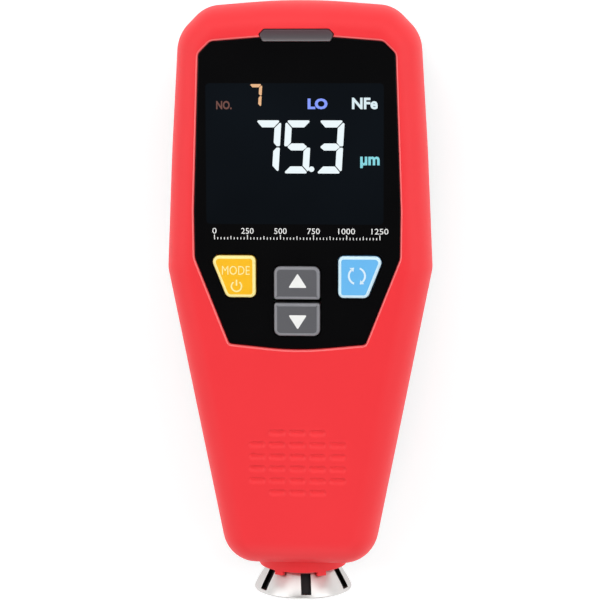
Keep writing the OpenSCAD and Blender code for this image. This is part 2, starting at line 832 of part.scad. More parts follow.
module contact_strip() color("#2a2a2c") translate([-glass_w / 2 + 1, glass_foot + fit, board_z])
    cube([glass_w - 2, strip_h, backlight_t]);

module display_gasket() color("#1c1c1e") translate([0, 0, glass_z]) linear_extrude(gasket_t) difference() {
    translate([-glass_w / 2, glass_foot + strip_h + 0.4]) square([glass_w, glass_h - strip_h - 0.4]);
    translate([-glass_w / 2 + glass_margin, glass_foot + strip_h + glass_margin])
        square([glass_w - 2 * glass_margin, glass_h - strip_h - 2 * glass_margin]);
}

module lcd_frame() color("#ececea") translate([0, 0, board_z])
    linear_extrude(backlight_t + glass_t / 2) difference() {
        translate([-glass_w / 2 - lcd_wall, glass_foot - lcd_wall])
            square([glass_w + 2 * lcd_wall, glass_h + 2 * lcd_wall]);
        translate([-glass_w / 2 - fit, glass_foot - fit]) square([glass_w + 2 * fit, glass_h + 2 * fit]);
    }

module key_switches() color(black_plastic) for (p = switch_places) translate([p[0], p[1], board_z]) {
    translate([-switch_w / 2, -switch_w / 2, 0]) cube([switch_w, switch_w, switch_h - 0.4]);
    cylinder(r = 1.3, h = switch_h);
}

module indicator_led() color("#f4f1dc") translate([0, panel_top, board_z]) {
    translate([-led[0] / 2, -led[1] / 2, 0]) cube(led);
    translate([-led_dome[0] / 2, -led_dome[1] / 2, led[2] - 0.1]) cube(led_dome);
}

module board_chips() color(black_plastic) for (chip = chips) let (size = chip[2])
    translate([chip[0] - size[0] / 2, chip[1] - size[1] / 2, board_z - board_t - size[2]]) cube(size);

module beeper() color(black_plastic) translate([0, beeper_y, board_z - board_t]) difference() {
    translate([0, 0, -beeper_t]) cylinder(r = beeper_r, h = beeper_t);
    translate([0, 0, -beeper_t - 1]) cylinder(r = beeper_hole_r, h = beeper_t / 2 + 1);
}

// Skirt: neck, holding flange and flared bell in one turned profile, with windows in the bell
module probe_sleeve() color(chrome) on_probe_axis() difference() {
    rotate_extrude($fn = 96) polygon([
        [neck_r - skirt_t, sleeve_back],
        [groove_r - fit, sleeve_back],
        [groove_r - fit, sleeve_flange_front],
        [neck_r, sleeve_flange_front],
        [neck_r, collar_len + 0.3],
        [neck_r + (rim_r - neck_r) * 0.75, rim_h - 1.7],
        [rim_r - 0.1, rim_h - 0.6],
        [rim_r, rim_h - 0.3],
        [rim_r - 0.2, rim_h],
        [rim_r - skirt_t, rim_h],
        [neck_r + (rim_r - neck_r) * 0.75 - skirt_t, rim_h - 1.5],
        [neck_r - skirt_t, collar_len + 0.5]
    ]);
    for (k = [0:window_count - 1]) rotate([0, 0, 90 - window_turn + k * 360 / window_count])
        translate([guide_r + fit, -window_w / 2, collar_len + 0.5])
            cube([rim_r, window_w, rim_h - rim_band - collar_len - 0.5]);
}

module probe_guide() color(steel) on_probe_axis() rotate_extrude($fn = 64) polygon([
    [carrier_r + fit, stop_h],
    [carrier_r + fit, guide_front],
    [guide_r, guide_front],
    [guide_r, guide_flange_front],
    [groove_r - fit, guide_flange_front],
    [groove_r - fit, guide_flange_front - collar_flange_t],
    [guide_r, guide_flange_front - collar_flange_t],
    [guide_r, guide_back],
    [guide_wide_r, guide_back],
    [guide_wide_r, stop_h]
]);

// Moving bobbin: winding groove at the front, stop flange and spring guide behind
module probe_carrier() color("#4a3a2c") on_probe_axis() rotate_extrude($fn = 64) polygon([
    [pole_r + 0.03, tail_back],
    [pole_r + 0.03, carrier_front],
    [carrier_r, carrier_front],
    [carrier_r, coil_front],
    [coil_in - fit, coil_front],
    [coil_in - fit, coil_back],
    [carrier_r, coil_back],
    [carrier_r, stop_h - fit],
    [stop_r, stop_h - fit],
    [stop_r, stop_h - fit - stop_t],
    [tail_r, stop_h - fit - stop_t],
    [tail_r, tail_back]
]);

module probe_core() color(steel) on_probe_axis() rotate_extrude($fn = 48) polygon(concat(
    [[0, tail_back], [pole_r, tail_back]],
    [for (k = [0:8]) [pole_r * cos(90 * k / 8), tip_h - pole_r + pole_r * sin(90 * k / 8)]]
));

module probe_coil() color("#b46a2e") on_probe_axis() rotate_extrude($fn = 64)
    translate([coil_in, coil_back + fit]) square([coil_r - coil_in, coil_front - coil_back - 2 * fit]);

// Wire swept along a line of points, with rings that stand across it
function wire_ring(p, q, r, sides, up) =
    let (d = unit(q - p), s = unit(cross(d, up)), t = cross(s, d))
    [for (k = [0:sides - 1]) p + r * (s * cos(360 * k / sides) + t * sin(360 * k / sides))];

module coil(mid_r, end_r, from, to, turns, wire) {
    steps = turns * 12;
    path = [
        for (i = [0:steps + 1])
            let (a = 360 * i / 12, s = i / steps, r = mid_r + (end_r - mid_r) * s)
            [r * cos(a), r * sin(a), from + (to - from) * s]
    ];
    loft([for (i = [0:steps]) wire_ring(path[i], path[i + 1], wire / 2, 6, [0, 0, 1])]);
}

module probe_spring() color(steel) on_probe_axis() coil(
    spring_mid_r, spring_mid_r, guide_back + fit + spring_wire / 2,
    stop_h - stop_t - 2 * fit - spring_wire / 2, spring_turns, spring_wire
);

module probe_cap() color(black_plastic) on_probe_axis() difference() {
    translate([0, 0, guide_back - cap_t]) cylinder(r = guide_r, h = cap_t);
    translate([0, 0, guide_back - cap_t - 1]) cylinder(r = lead_r + fit, h = cap_t + 2);
}

module probe_connector() color("#e8e4d6")
    translate([-connector[0] / 2, connector_y, board_z - board_t - connector[2]]) cube(connector);

// Share of the lead's climb at the share s of its run: straight at first, then an even S
function lead_rise(s) =
    let (e = max(0, (s - lead_straight) / (1 - lead_straight))) e * e * (3 - 2 * e);

// Screened lead from the cap up to the connector under the board
module probe_lead() color(black_plastic) {
    start = [0, y_foot - guide_back + fit, probe_z];
    finish = [0, connector_y, board_z - board_t - connector[2] / 2];
    run = finish - start;
    points = [
        for (k = [0:lead_steps])
            let (s = k / lead_steps)
            start + [0, run[1] * s, run[2] * lead_rise(s)]
    ];
    ahead = concat([for (k = [1:lead_steps]) points[k]], [finish + [0, 1, 0]]);
    loft([for (k = [0:lead_steps]) wire_ring(points[k], ahead[k], lead_r, 8, [1, 0, 0])]);
}

module cell() rotate([-90, 0, 0]) rotate_extrude($fn = 64) polygon([
    [0, 0],
    [cell_d / 2 - cell_edge, 0],
    [cell_d / 2, cell_edge],
    [cell_d / 2, cell_len - cell_shoulder - cell_edge],
    [cell_d / 2 - cell_edge, cell_len - cell_shoulder],
    [cell_cap_r, cell_len - cell_shoulder],
    [cell_cap_r, cell_len - cell_cap_edge],
    [cell_cap_r - cell_cap_edge, cell_len],
    [0, cell_len]
]);

module cell_left() color("#3f6fae") translate([-cell_x, cell_foot, cell_z]) cell();
module cell_right() color("#3f6fae")
    translate([cell_x, bay_foot + bay_top - cell_foot, cell_z]) rotate([0, 0, 180]) cell();

// Sheet contact against the lower or upper end wall of the bay
module contact_plate(x, w, at_top) translate([
    x - w / 2, at_top ? bay_top - contact_t : bay_foot, cell_z - cell_d * contact_share / 2
]) cube([w, contact_t, cell_d * contact_share]);

// Cone spring from a sheet contact towards the flat end of a cell
module contact_coil(x, at_top) translate([x, at_top ? bay_top - contact_t : bay_foot + contact_t, cell_z])
    rotate([at_top ? 90 : -90, 0, 0]) coil(
        contact_wide_r, contact_narrow_r, fit, cell_foot - bay_foot - 2 * contact_t,
        contact_turns, contact_wire
    );

module bridge_contact() color(steel) {
    contact_plate(0, 2 * cell_x + contact_w, false);
    contact_coil(-cell_x, false);
}

module positive_contact() color(steel) contact_plate(-cell_x, contact_w, true);

module negative_contact() color(steel) {
    contact_plate(cell_x, contact_w, true);
    contact_coil(cell_x, true);
}

front_housing();
rear_housing();
battery_cover();
front_panel();
indicator_lens();
mode_key();
zero_key();
up_key();
down_key();
case_screws();
main_board();
board_screws();
lcd_glass();
lcd_frame();
backlight_panel();
contact_strip();
display_gasket();
key_switches();
indicator_led();
board_chips();
beeper();
probe_sleeve();
probe_guide();
probe_carrier();
probe_core();
probe_coil();
probe_spring();
probe_cap();
probe_connector();
probe_lead();
cell_left();
cell_right();
bridge_contact();
positive_contact();
negative_contact();
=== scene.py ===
import json
import math

import bmesh
import bpy
import numpy as np
from mathutils import Matrix, Vector
from mathutils.bvhtree import BVHTree

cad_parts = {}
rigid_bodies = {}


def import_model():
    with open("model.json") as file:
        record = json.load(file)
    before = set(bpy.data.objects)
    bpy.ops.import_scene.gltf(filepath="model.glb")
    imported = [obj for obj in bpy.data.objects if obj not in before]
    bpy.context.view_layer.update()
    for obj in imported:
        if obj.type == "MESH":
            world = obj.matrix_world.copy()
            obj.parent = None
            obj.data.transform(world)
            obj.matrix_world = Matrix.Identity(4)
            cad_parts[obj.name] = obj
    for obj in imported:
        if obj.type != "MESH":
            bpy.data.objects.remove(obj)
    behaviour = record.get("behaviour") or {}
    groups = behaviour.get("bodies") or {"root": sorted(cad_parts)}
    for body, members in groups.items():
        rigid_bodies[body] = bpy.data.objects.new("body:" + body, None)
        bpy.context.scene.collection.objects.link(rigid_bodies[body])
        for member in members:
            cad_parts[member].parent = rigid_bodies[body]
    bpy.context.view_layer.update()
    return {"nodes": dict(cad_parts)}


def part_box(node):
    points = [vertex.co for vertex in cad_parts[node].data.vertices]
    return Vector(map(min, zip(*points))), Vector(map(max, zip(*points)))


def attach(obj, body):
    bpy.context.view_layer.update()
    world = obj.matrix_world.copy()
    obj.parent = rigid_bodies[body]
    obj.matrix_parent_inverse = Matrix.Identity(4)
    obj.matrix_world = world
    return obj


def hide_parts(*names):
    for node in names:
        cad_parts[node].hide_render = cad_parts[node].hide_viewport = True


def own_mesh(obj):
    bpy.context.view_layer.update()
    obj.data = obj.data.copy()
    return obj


for leftover in list(bpy.data.objects):
    bpy.data.objects.remove(leftover)
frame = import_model()


# Front housing: the red upper half of the case, moulded in ABS as one lofted shell.
# It frames the sunk window panel, has rows of grip dashes in its handle and half of the probe
# collar at its foot, and screws from behind pull it down on the rear half.
MM = 0.001


def low(node):
    """Lowest corner of a node's box in millimetres."""
    return np.array(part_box(node)[0]) / MM


def high(node):
    """Highest corner of a node's box in millimetres."""
    return np.array(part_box(node)[1]) / MM


def linear(hex_code):
    """Linear RGBA of an sRGB hex colour."""
    shades = [int(hex_code[i:i + 2], 16) / 255 for i in (1, 3, 5)]
    return [s / 12.92 if s <= 0.04045 else ((s + 0.055) / 1.055) ** 2.4 for s in shades] + [1.0]


def set_up(tree, node, settings=None, links=None):
    """Sets a node's properties or sockets by name or number, and links outputs to its inputs."""
    for key, value in (settings or {}).items():
        if isinstance(key, str) and hasattr(node, key):
            setattr(node, key, value)
        else:
            node.inputs[key].default_value = value
    for key, output in (links or {}).items():
        tree.links.new(output, node.inputs[key])
    return node


def add(tree, kind, settings=None, links=None):
    """Adds a node with its settings and links."""
    return set_up(tree, tree.nodes.new(kind), settings, links)


def new_material(name):
    """Node material, its tree and its surface shader, with the place on the object to map by."""
    material = bpy.data.materials.new(name)
    material.use_nodes = True
    tree = material.node_tree
    place = add(tree, "ShaderNodeTexCoord").outputs["Object"]
    return material, tree, tree.nodes["Principled BSDF"], place


def grained(name, light, dark, patch_mm, grain_mm, depth_mm, rough, metallic=0.0, ior=1.5, gleam=0.5):
    """Finish whose colour drifts between two shades over patches, with a fine bumpy grain."""
    spread = 0.05
    material, tree, shader, place = new_material(name)
    patch = add(tree, "ShaderNodeTexNoise", {"Scale": 1 / (patch_mm * MM), "Detail": 3.0}, {"Vector": place})
    grain = add(tree, "ShaderNodeTexNoise", {"Scale": 1 / (grain_mm * MM), "Detail": 2.0}, {"Vector": place})
    shade = add(tree, "ShaderNodeMix", {"data_type": "RGBA", 6: linear(dark), 7: linear(light)},
                {0: patch.outputs["Fac"]})
    gloss = add(tree, "ShaderNodeMapRange", {"To Min": rough - spread, "To Max": rough + spread},
                {"Value": grain.outputs["Fac"]})
    bump = add(tree, "ShaderNodeBump", {"Distance": depth_mm * MM, "Strength": 0.6},
               {"Height": grain.outputs["Fac"]})
    set_up(tree, shader, {"Metallic": metallic, "Specular IOR Level": gleam},
           {"Base Color": shade.outputs[2], "Roughness": gloss.outputs["Result"],
            "Normal": bump.outputs["Normal"]})
    if not metallic:
        set_up(tree, shader, {"IOR": ior})
    return material


def mirrored(half, radii):
    """Corners and radii of a whole outline from its right half, clockwise from the top."""
    left = [((-x, y), r) for (x, y), r in zip(half, radii) if x > 0][::-1]
    return list(half) + [p for p, r in left], list(radii) + [r for p, r in left]


def outline(corners, radii, inset=0.0, steps=10):
    """Points of a clockwise outline moved in by inset, with an arc of its own radius at each corner."""
    sharpest = 0.15
    corners = np.array(corners, float)
    ahead = np.roll(corners, -1, 0) - corners
    ahead /= np.linalg.norm(ahead, axis=1)[:, None]
    behind = np.roll(ahead, 1, 0)
    points = []
    for b, u, v, r in zip(corners, behind, ahead, radii):
        n, m = np.array([u[1], -u[0]]), np.array([v[1], -v[0]])
        b = b + (n + m) * inset / (1 + n @ m)
        r = max(r - inset, sharpest)
        turn = math.acos(min(1.0, u @ v))
        centre = b - u * r * math.tan(turn / 2) + n * r
        for t in np.linspace(0, -turn, steps + 1):
            points.append(centre - r * np.array([n[0] * math.cos(t) - n[1] * math.sin(t),
                                                 n[0] * math.sin(t) + n[1] * math.cos(t)]))
    return np.array(points)


def raised(loop, z):
    """Outline at height z, where z may be one height for all or one for each point."""
    return np.column_stack([loop, np.broadcast_to(z, len(loop))])


def build(name, points, faces):
    """Mesh object from points in millimetres."""
    mesh = bpy.data.meshes.new(name)
    mesh.from_pydata((np.array(points) * MM).tolist(), [], faces)
    mesh.validate()
    piece = bpy.data.objects.new(name, mesh)
    bpy.context.scene.collection.objects.link(piece)
    return piece


def loft(name, rings):
    """Closed solid through a stack of clockwise outlines, from the lowest to the highest."""
    n, last = len(rings[0]), len(rings) - 1
    faces = [(j * n + i, (j + 1) * n + i, (j + 1) * n + (i + 1) % n, j * n + (i + 1) % n)
             for j in range(last) for i in range(n)]
    faces += [tuple(range(n)), tuple(last * n + i for i in reversed(range(n)))]
    return build(name, np.concatenate(rings), faces)


def prism(name, loop, z0, z1):
    """Outline pulled up from one height to another."""
    return loft(name, [raised(loop, z0), raised(loop, z1)])


def box_loop(x0, y0, x1, y1):
    """Clockwise rectangle."""
    return np.array([(x0, y1), (x1, y1), (x1, y0), (x0, y0)], float)


def circle(x, y, r, steps=40):
    """Clockwise circle."""
    turns = np.linspace(0, -2 * math.pi, steps, endpoint=False)
    return np.column_stack([x + r * np.cos(turns), y + r * np.sin(turns)])


def on_probe(r, angle, h):
    """Point at a radius and an angle from the front round the probe axis, h out of the foot."""
    return r * math.sin(angle), y_foot - h, probe_z + r * math.cos(angle)


def turned(name, profile, steps=160):
    """Solid of a closed profile of (radius, height out of the foot) turned round the probe axis."""
    n = len(profile)
    turns = np.linspace(0, 2 * math.pi, steps, endpoint=False)
    points = [on_probe(r, a, h) for a in turns for r, h in profile]
    faces = [(j * n + i, j * n + (i + 1) % n, (j + 1) % steps * n + (i + 1) % n, (j + 1) % steps * n + i)
             for j in range(steps) for i in range(n)]
    return build(name, points, faces)


def round_bar(name, r, h0, h1, steps=96):
    """Round bar on the probe axis."""
    turns = np.linspace(0, 2 * math.pi, steps, endpoint=False)
    return loft(name, [np.array([on_probe(r, a, h) for a in turns]) for h in (h0, h1)])


def radial_block(name, angle, r0, r1, width, h0, h1):
    """Block that stands out from the probe axis at an angle from the front."""
    out = np.array([math.sin(angle), 0, math.cos(angle)])
    across = np.array([math.cos(angle), 0, -math.sin(angle)])
    half = width / 2
    rings = [[np.array([0, y_foot - h, probe_z]) + out * r + across * w
              for r, w in ((r0, -half), (r1, -half), (r1, half), (r0, half))] for h in (h0, h1)]
    return loft(name, [np.array(ring) for ring in rings])


def joined(name, pieces):
    """One object that holds the meshes of several."""
    points, faces = [], []
    for piece in pieces:
        start = len(points)
        points += [v.co / MM for v in piece.data.vertices]
        faces += [tuple(start + i for i in f.vertices) for f in piece.data.polygons]
        bpy.data.objects.remove(piece)
    return build(name, points, faces)


def carve(piece, tool, operation="DIFFERENCE"):
    """Cuts a tool out of a piece, joins it on, or keeps what both share; the tool is used up."""
    cut = piece.modifiers.new("carve", "BOOLEAN")
    cut.object = tool
    cut.operation = operation
    cut.solver = "MANIFOLD"
    mesh = bpy.data.meshes.new_from_object(piece.evaluated_get(bpy.context.evaluated_depsgraph_get()))
    piece.modifiers.clear()
    piece.data = mesh
    bpy.data.objects.remove(tool)
    return piece


def smooth(piece, materials, angle=32):
    """Smooth shading with hard edges past an angle, and the piece's materials."""
    while len(piece.data.materials) < len(materials):
        piece.data.materials.append(None)
    for k, material in enumerate(materials):
        piece.data.materials[k] = material
    piece.data.shade_smooth()
    piece.data.set_sharp_from_angle(angle=math.radians(angle))
    piece.modifiers.new("even_shading", "WEIGHTED_NORMAL").keep_sharp = True
    return piece


def placed(piece, body, slot, *nodes):
    """Gives a piece its body and hides the nodes that it stands for; its finish slot is not used."""
    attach(piece, body)
    if nodes:
        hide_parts(*nodes)


def rounding(width, height, degrees):
    """Steps of a rounded edge, as how far in from its side and how far down from its top."""
    turns = np.radians(degrees)
    return [(width * (1 - math.cos(t)), height * (1 - math.sin(t))) for t in turns]


def crest_radius(rise, drop, run):
    """Radius that rounds a crest down by rise, where its sides fall by drop over run."""
    return rise / (1 / math.cos(math.atan((drop + rise) / run)) - 1)


y_top, y_foot = high("front_housing")[1], -53.9
crown_z, parting_z = high("front_housing")[2], low("front_housing")[2]
probe_z = parting_z
belt_z, frame_z, wall, draft = 18.5, 27.6, 2.0, 0.3
edge_w, edge_power, edge_rows = 6.2, 2.3, 19
crown_shares = (0.94, 0.86, 0.76, 0.64, 0.5, 0.34, 0.16)
hair, seam, past = 0.004, 0.22, 1.0
top_crest, top_arch, top_run = 0.36, 1.1, 18.9
case_half = [(0, y_top + top_crest), (top_run, y_top - top_arch), (24.5, 54.7), (25.95, 31.1), (27, 7.5),
             (14.9, y_foot)]
case_radii = [crest_radius(top_crest, top_arch, top_run), 7, 8, 300, 6, 7.2]


def case_ring(inset):
    """Outline of the case, a hair inside the true one so that its finer arcs stay within it."""
    return outline(*mirrored(case_half, case_radii), inset + hair)


def edge(share):
    """How far in and how far up a rounded edge is, from its side at 0 to its flat at 1."""
    t = share * math.pi / 2
    return 1 - max(math.cos(t), 0) ** (2 / edge_power), math.sin(t) ** (2 / edge_power)


rings = [raised(case_ring(draft + seam), parting_z), raised(case_ring(draft), parting_z + seam)]
for share in np.linspace(0, 1, edge_rows):
    inwards, up = edge(share)
    rings.append(raised(case_ring(edge_w * inwards), belt_z + (frame_z - belt_z) * up))
for s in crown_shares:
    rings.append(raised(case_ring(edge_w) * s, frame_z + (crown_z - frame_z) * (1 - s * s)))
front = loft("front_shell", rings)
skin = BVHTree.FromPolygons([v.co / MM for v in front.data.vertices],
                            [f.vertices for f in front.data.polygons])


def skin_z(loop):
    """Height of the housing's front over each point of an outline."""
    above = 2 * crown_z
    return np.array([skin.ray_cast(Vector((x, y, above)), Vector((0, 0, -1)))[0].z for x, y in loop])


def sunk(name, loop_at, profile, floor=()):
    """Cutter for a hollow in the front, by how far out and how deep under the front its side is.

    As all cutters do, it runs past the face that it cuts.
    """
    rings = list(floor)
    for out, depth in profile:
        loop = loop_at(out)
        rings.append(raised(loop, skin_z(loop) - depth))
    return loft(name, rings + [raised(rings[-1][:, :2], crown_z + 3 * past)])


collar_r, collar_len, collar_edge, collar_core, neck_r = 9.15, 2.0, 0.25, 0.5, 7.6
edge_bulge, reach_out = 0.3, 80
collar_bulge = edge_bulge * collar_edge
collar = turned("collar", [(collar_core, -wall), (collar_r, -wall), (collar_r, collar_len - collar_edge),
                           (collar_r - collar_bulge, collar_len - collar_bulge),
                           (collar_r - collar_edge, collar_len), (collar_core, collar_len)])
around = box_loop(-reach_out / 2, -reach_out, reach_out / 2, 0)
carve(collar, prism("upper_half", around, parting_z, 2 * crown_z), "INTERSECT")
carve(front, collar, "UNION")
lug_turn, lug_w, lug_len, lug_root, lug_inset, lug_gap = math.radians(30), 1.85, 0.8, 0.5, 0.1, 0.6
for side in (-1, 1):
    lug = radial_block("lug", side * lug_turn, neck_r + lug_gap, collar_r - lug_inset, lug_w,
                       collar_len - lug_root, collar_len + lug_len)
    carve(front, lug, "UNION")

deck_z, panel_z = low("front_panel")[2], high("front_panel")[2]
deck_t, deck_inset, deck_rise, roof_lift, inner_rows = 1.6, 0.8, 0.6, 0.4, 7
deck_under = deck_z - deck_t
inner = [raised(case_ring(draft + wall), parting_z - past)]
for share in np.linspace(0, 1, inner_rows):
    inwards, up = edge(share)
    inset = wall + (edge_w - wall / 2) * inwards
    inner.append(raised(case_ring(inset), belt_z + (frame_z - wall - belt_z) * up))
hollow = loft("hollow", inner)
panel_foot = -8.15
deck_loop = case_ring(wall + deck_inset)
deck_loop[:, 1] = np.maximum(deck_loop[:, 1], panel_foot - wall)
roof_z = frame_z - wall + roof_lift
carve(hollow, prism("deck", deck_loop, deck_under, deck_z + deck_rise))
seat_wall, seat_back = 1.6, 7.5
seat_r = collar_r + seat_wall
carve(hollow, round_bar("seat", seat_r, -seat_back, -wall / 2))
case_screws = [(s * x, y) for x, y in ((18.5, 51.5), (11.3, -40)) for s in (-1, 1)]
board_screws = [(s * x, y) for x, y in ((11.5, 55.9), (21, 6.575), (13, -25)) for s in (-1, 1)]
board_z = high("main_board")[2]
case_boss_r, board_boss_r = 2.8, 1.8
bosses = [prism("boss", circle(x, y, case_boss_r), parting_z - 2 * past, roof_z) for x, y in case_screws]
bosses += [prism("boss", circle(x, y, board_boss_r), board_z, roof_z) for x, y in board_screws]
carve(hollow, joined("bosses", bosses))
carve(front, hollow)

fit, key_gap, deck_relief = 0.1, 0.25, 0.25
panel_crest, panel_arch, panel_top_run, panel_foot_run = 0.3, 1.05, 17.1, 13.7
panel_half = [(0, 54.75), (panel_top_run, 53.4), (19.55, 51.0), (20.65, 19.85), (20.55, 10.25),
              (panel_foot_run, panel_foot + panel_arch), (0, panel_foot - panel_crest)]
panel_radii = [crest_radius(panel_crest, panel_arch, panel_top_run), 1.6, 1.6, 40, 3, 0.8,
               crest_radius(panel_crest, panel_arch, panel_foot_run)]
lens_half, lens_radii = [(6.45, 55.85), (7.45, 54.85), (6.7, 53.45)], [0.4, 0.3, 0.4]
side_key, side_radii = [(8.3, 10.8), (17.53, 10.8), (14.18, 2.35), (8.3, 2.35)], [1.1, 1.3, 1.3, 1.1]
arrow_w, arrow_h, arrow_foot, arrow_top, arrow_far_r, arrow_near_r = 9.2, 6.65, -5.4, 8.65, 1.3, 0.5


def panel_ring(inset):
    """Outline of the window panel."""
    return outline(*mirrored(panel_half, panel_radii), inset)


def lens_ring(inset):
    """Outline of the indicator lens."""
    return outline(*mirrored(lens_half, lens_radii), inset, steps=5)


def flipped_x(loop):
    """Mirror of an outline on the left of the panel."""
    return (loop * (-1, 1))[::-1]


def key_openings(gap, z0, z1):
    """Cutters for the openings round the four keys."""
    right = outline(side_key, side_radii, -gap)
    left = flipped_x(right)
    pair = outline(box_loop(-arrow_w / 2, arrow_foot, arrow_w / 2, arrow_top), [arrow_far_r] * 4, -gap)
    return joined("openings", [prism("opening", loop, z0, z1) for loop in (left, right, pair)])


def pipe_loop(gap):
    """Outline of the lens's light pipe, with room round it."""
    half_w, half_t = pipe_w / 2 + gap, pipe_t / 2 + gap
    return box_loop(-half_w, pipe_y - half_t, half_w, pipe_y + half_t)


lens_seat_z, pipe_w, pipe_t, pipe_y = 25.2, 4.0, 1.4, 54.45
glass_foot, glass_top, glass_half = low("lcd_glass")[1], high("lcd_glass")[1], high("lcd_glass")[0]
strip_h, glass_margin, panel_lip = 1.6, 0.8, 0.5
lip_profile = rounding(panel_lip, panel_lip, (0, 18, 36, 54, 70, 82))
pocket = sunk("pocket", lambda out: panel_ring(-fit - out), lip_profile, [raised(panel_ring(-fit), deck_z)])
# The cutter's sloped faces leave the rounded lip, which takes the second of the housing's two finishes, a
# painted highlight.
for piece in (front, pocket):
    piece.data.materials.append(None)
    piece.data.materials.append(None)
upright, level = 0.05, 0.97
for face in pocket.data.polygons:
    face.material_index = 1 if upright < abs(face.normal.z) < level else 0
carve(front, pocket)
carve(front, prism("lens_slot", lens_ring(-fit), lens_seat_z, crown_z + 3 * past))
carve(front, key_openings(key_gap + deck_relief, deck_under - past, deck_z + past))
window_half, window_foot = glass_half - glass_margin, glass_foot + strip_h + glass_margin
window_loop = box_loop(-window_half, window_foot, window_half, glass_top - glass_margin)
carve(front, prism("display_opening", window_loop, deck_under - past, deck_z + past))
carve(front, prism("light_pipe_slot", pipe_loop(fit), deck_under - past, deck_z))
groove_depth, groove_front, groove_back = 1.9, 2.5, 5.6
carve(front, round_bar("bore", neck_r + 2 * fit, -seat_back - past, collar_len + past))
carve(front, round_bar("groove", neck_r + groove_depth, -groove_back, -groove_front))
case_pilot_r, case_pilot_end, board_pilot_r, board_pilot_end = 1.05, deck_under - 3, 0.8, deck_under - 1.5
pilots = [prism("pilot", circle(x, y, case_pilot_r), parting_z - 2 * past, case_pilot_end)
          for x, y in case_screws]
pilots += [prism("pilot", circle(x, y, board_pilot_r), board_z - past, board_pilot_end)
           for x, y in board_screws]
carve(front, joined("pilots", pilots))

grip_counts, grip_step, grip_drop, grip_y = (3, 5, 5, 5, 5, 3), 4.1, 2.48, -25.0
dash_len, dash_w, dash_r = 3.1, 1.0, 0.49
dash_profile = [(-0.34, 0.34), (-0.22, 0.31), (-0.1, 0.24), (0.02, 0.15), (0.14, 0.07), (0.25, 0.02),
                (0.36, 0.004)]
dash_lean, dash_shift = 0.36, -0.18


def dash_loops(x, y):
    """Outlines of a dash by how far out they are, leaned so that its upper side is the steep one."""
    corners = box_loop(x - dash_len / 2, y - dash_w / 2, x + dash_len / 2, y + dash_w / 2)
    return lambda out: outline(corners, [dash_r] * 4, -out, steps=6) + (0, dash_shift - dash_lean * out)


dashes = []
for row, count in enumerate(grip_counts):
    for column in range(count):
        x = (column - (count - 1) / 2) * grip_step
        y = grip_y - row * grip_drop
        dashes.append(sunk("dash", dash_loops(x, y), dash_profile))
carve(front, joined("dashes", dashes))

# Moulded ABS from a spark-eroded tool: a satin red with a fine even grain and no clear reflections.
# The true grain of about 0.05 mm is too fine to show, so it is drawn at 0.4 mm.
red_abs = grained("red_moulded_abs", "#F5343A", "#F02F36", patch_mm=18, grain_mm=0.4, depth_mm=0.008,
                  rough=0.52, ior=1.53, gleam=0.3)
# The rounded lip of the pocket is painted a lighter, glossier red as a painted highlight, a thin lighter
# line.
red_lip_painted_highlight = grained("red_abs_painted_highlight", "#FF6A6A", "#FB6264", patch_mm=18, grain_mm=0.4, depth_mm=0.003,
                  rough=0.25, ior=1.53)
smooth(front, [red_abs, red_lip_painted_highlight])
placed(front, "case", "red_abs", "front_housing")


# Front panel: a sheet of clear acrylic, cut to shape and printed black on its back, so that its face is
# a deep gloss black. It lies in the sunk seat of the housing, with openings for the keys and the lens.
panel_edge = 0.16
panel_bulge = edge_bulge * panel_edge
panel = loft("window_panel", [raised(panel_ring(0), deck_z), raised(panel_ring(0), panel_z - panel_edge),
                              raised(panel_ring(panel_bulge), panel_z - panel_bulge),
                              raised(panel_ring(panel_edge), panel_z)])
carve(panel, prism("lens_notch", lens_ring(-fit), deck_z - past, panel_z + past))
carve(panel, key_openings(key_gap, deck_z - past, panel_z + past))

# Polished acrylic over black ink: dark and glossy, with faint smears from wiping in the gloss.
smear_mm, acrylic_ior = 14, 1.49
acrylic, tree, shader, place = new_material("black_backed_acrylic")
smear = add(tree, "ShaderNodeTexNoise", {"Scale": 1 / (smear_mm * MM), "Detail": 5.0, "Roughness": 0.6},
            {"Vector": place})
gloss = add(tree, "ShaderNodeMapRange", {"To Min": 0.07, "To Max": 0.15}, {"Value": smear.outputs["Fac"]})
tint = add(tree, "ShaderNodeMix", {"data_type": "RGBA", 6: linear("#060607"), 7: linear("#0A0A0B")},
           {0: smear.outputs["Fac"]})
set_up(tree, shader, {"IOR": acrylic_ior},
       {"Base Color": tint.outputs[2], "Roughness": gloss.outputs["Result"]})
smooth(panel, [acrylic])
placed(panel, "case", "panel_acrylic", "front_panel")


# Indicator lens: a small bar of diffusing acrylic at the top of the panel, with a light pipe down to
# the lamp on the board. It is pressed into its notch from the front and stands a little proud.
lens_foot, lens_top, lens_z = lens_half[2][1], lens_half[0][1], high("indicator_lens")[2]
pipe_foot, pipe_root = low("indicator_lens")[2], 0.4
lens_round = [(0, 0.3), (0.05, 0.15), (0.15, 0.05), (0.32, 0)]
lens_rings = [raised(lens_ring(inset), lens_z - down) for inset, down in lens_round]
lens = loft("lens_bar", [raised(lens_ring(0), lens_seat_z)] + lens_rings)
carve(lens, prism("pipe", pipe_loop(0), pipe_foot, lens_seat_z + pipe_root), "UNION")
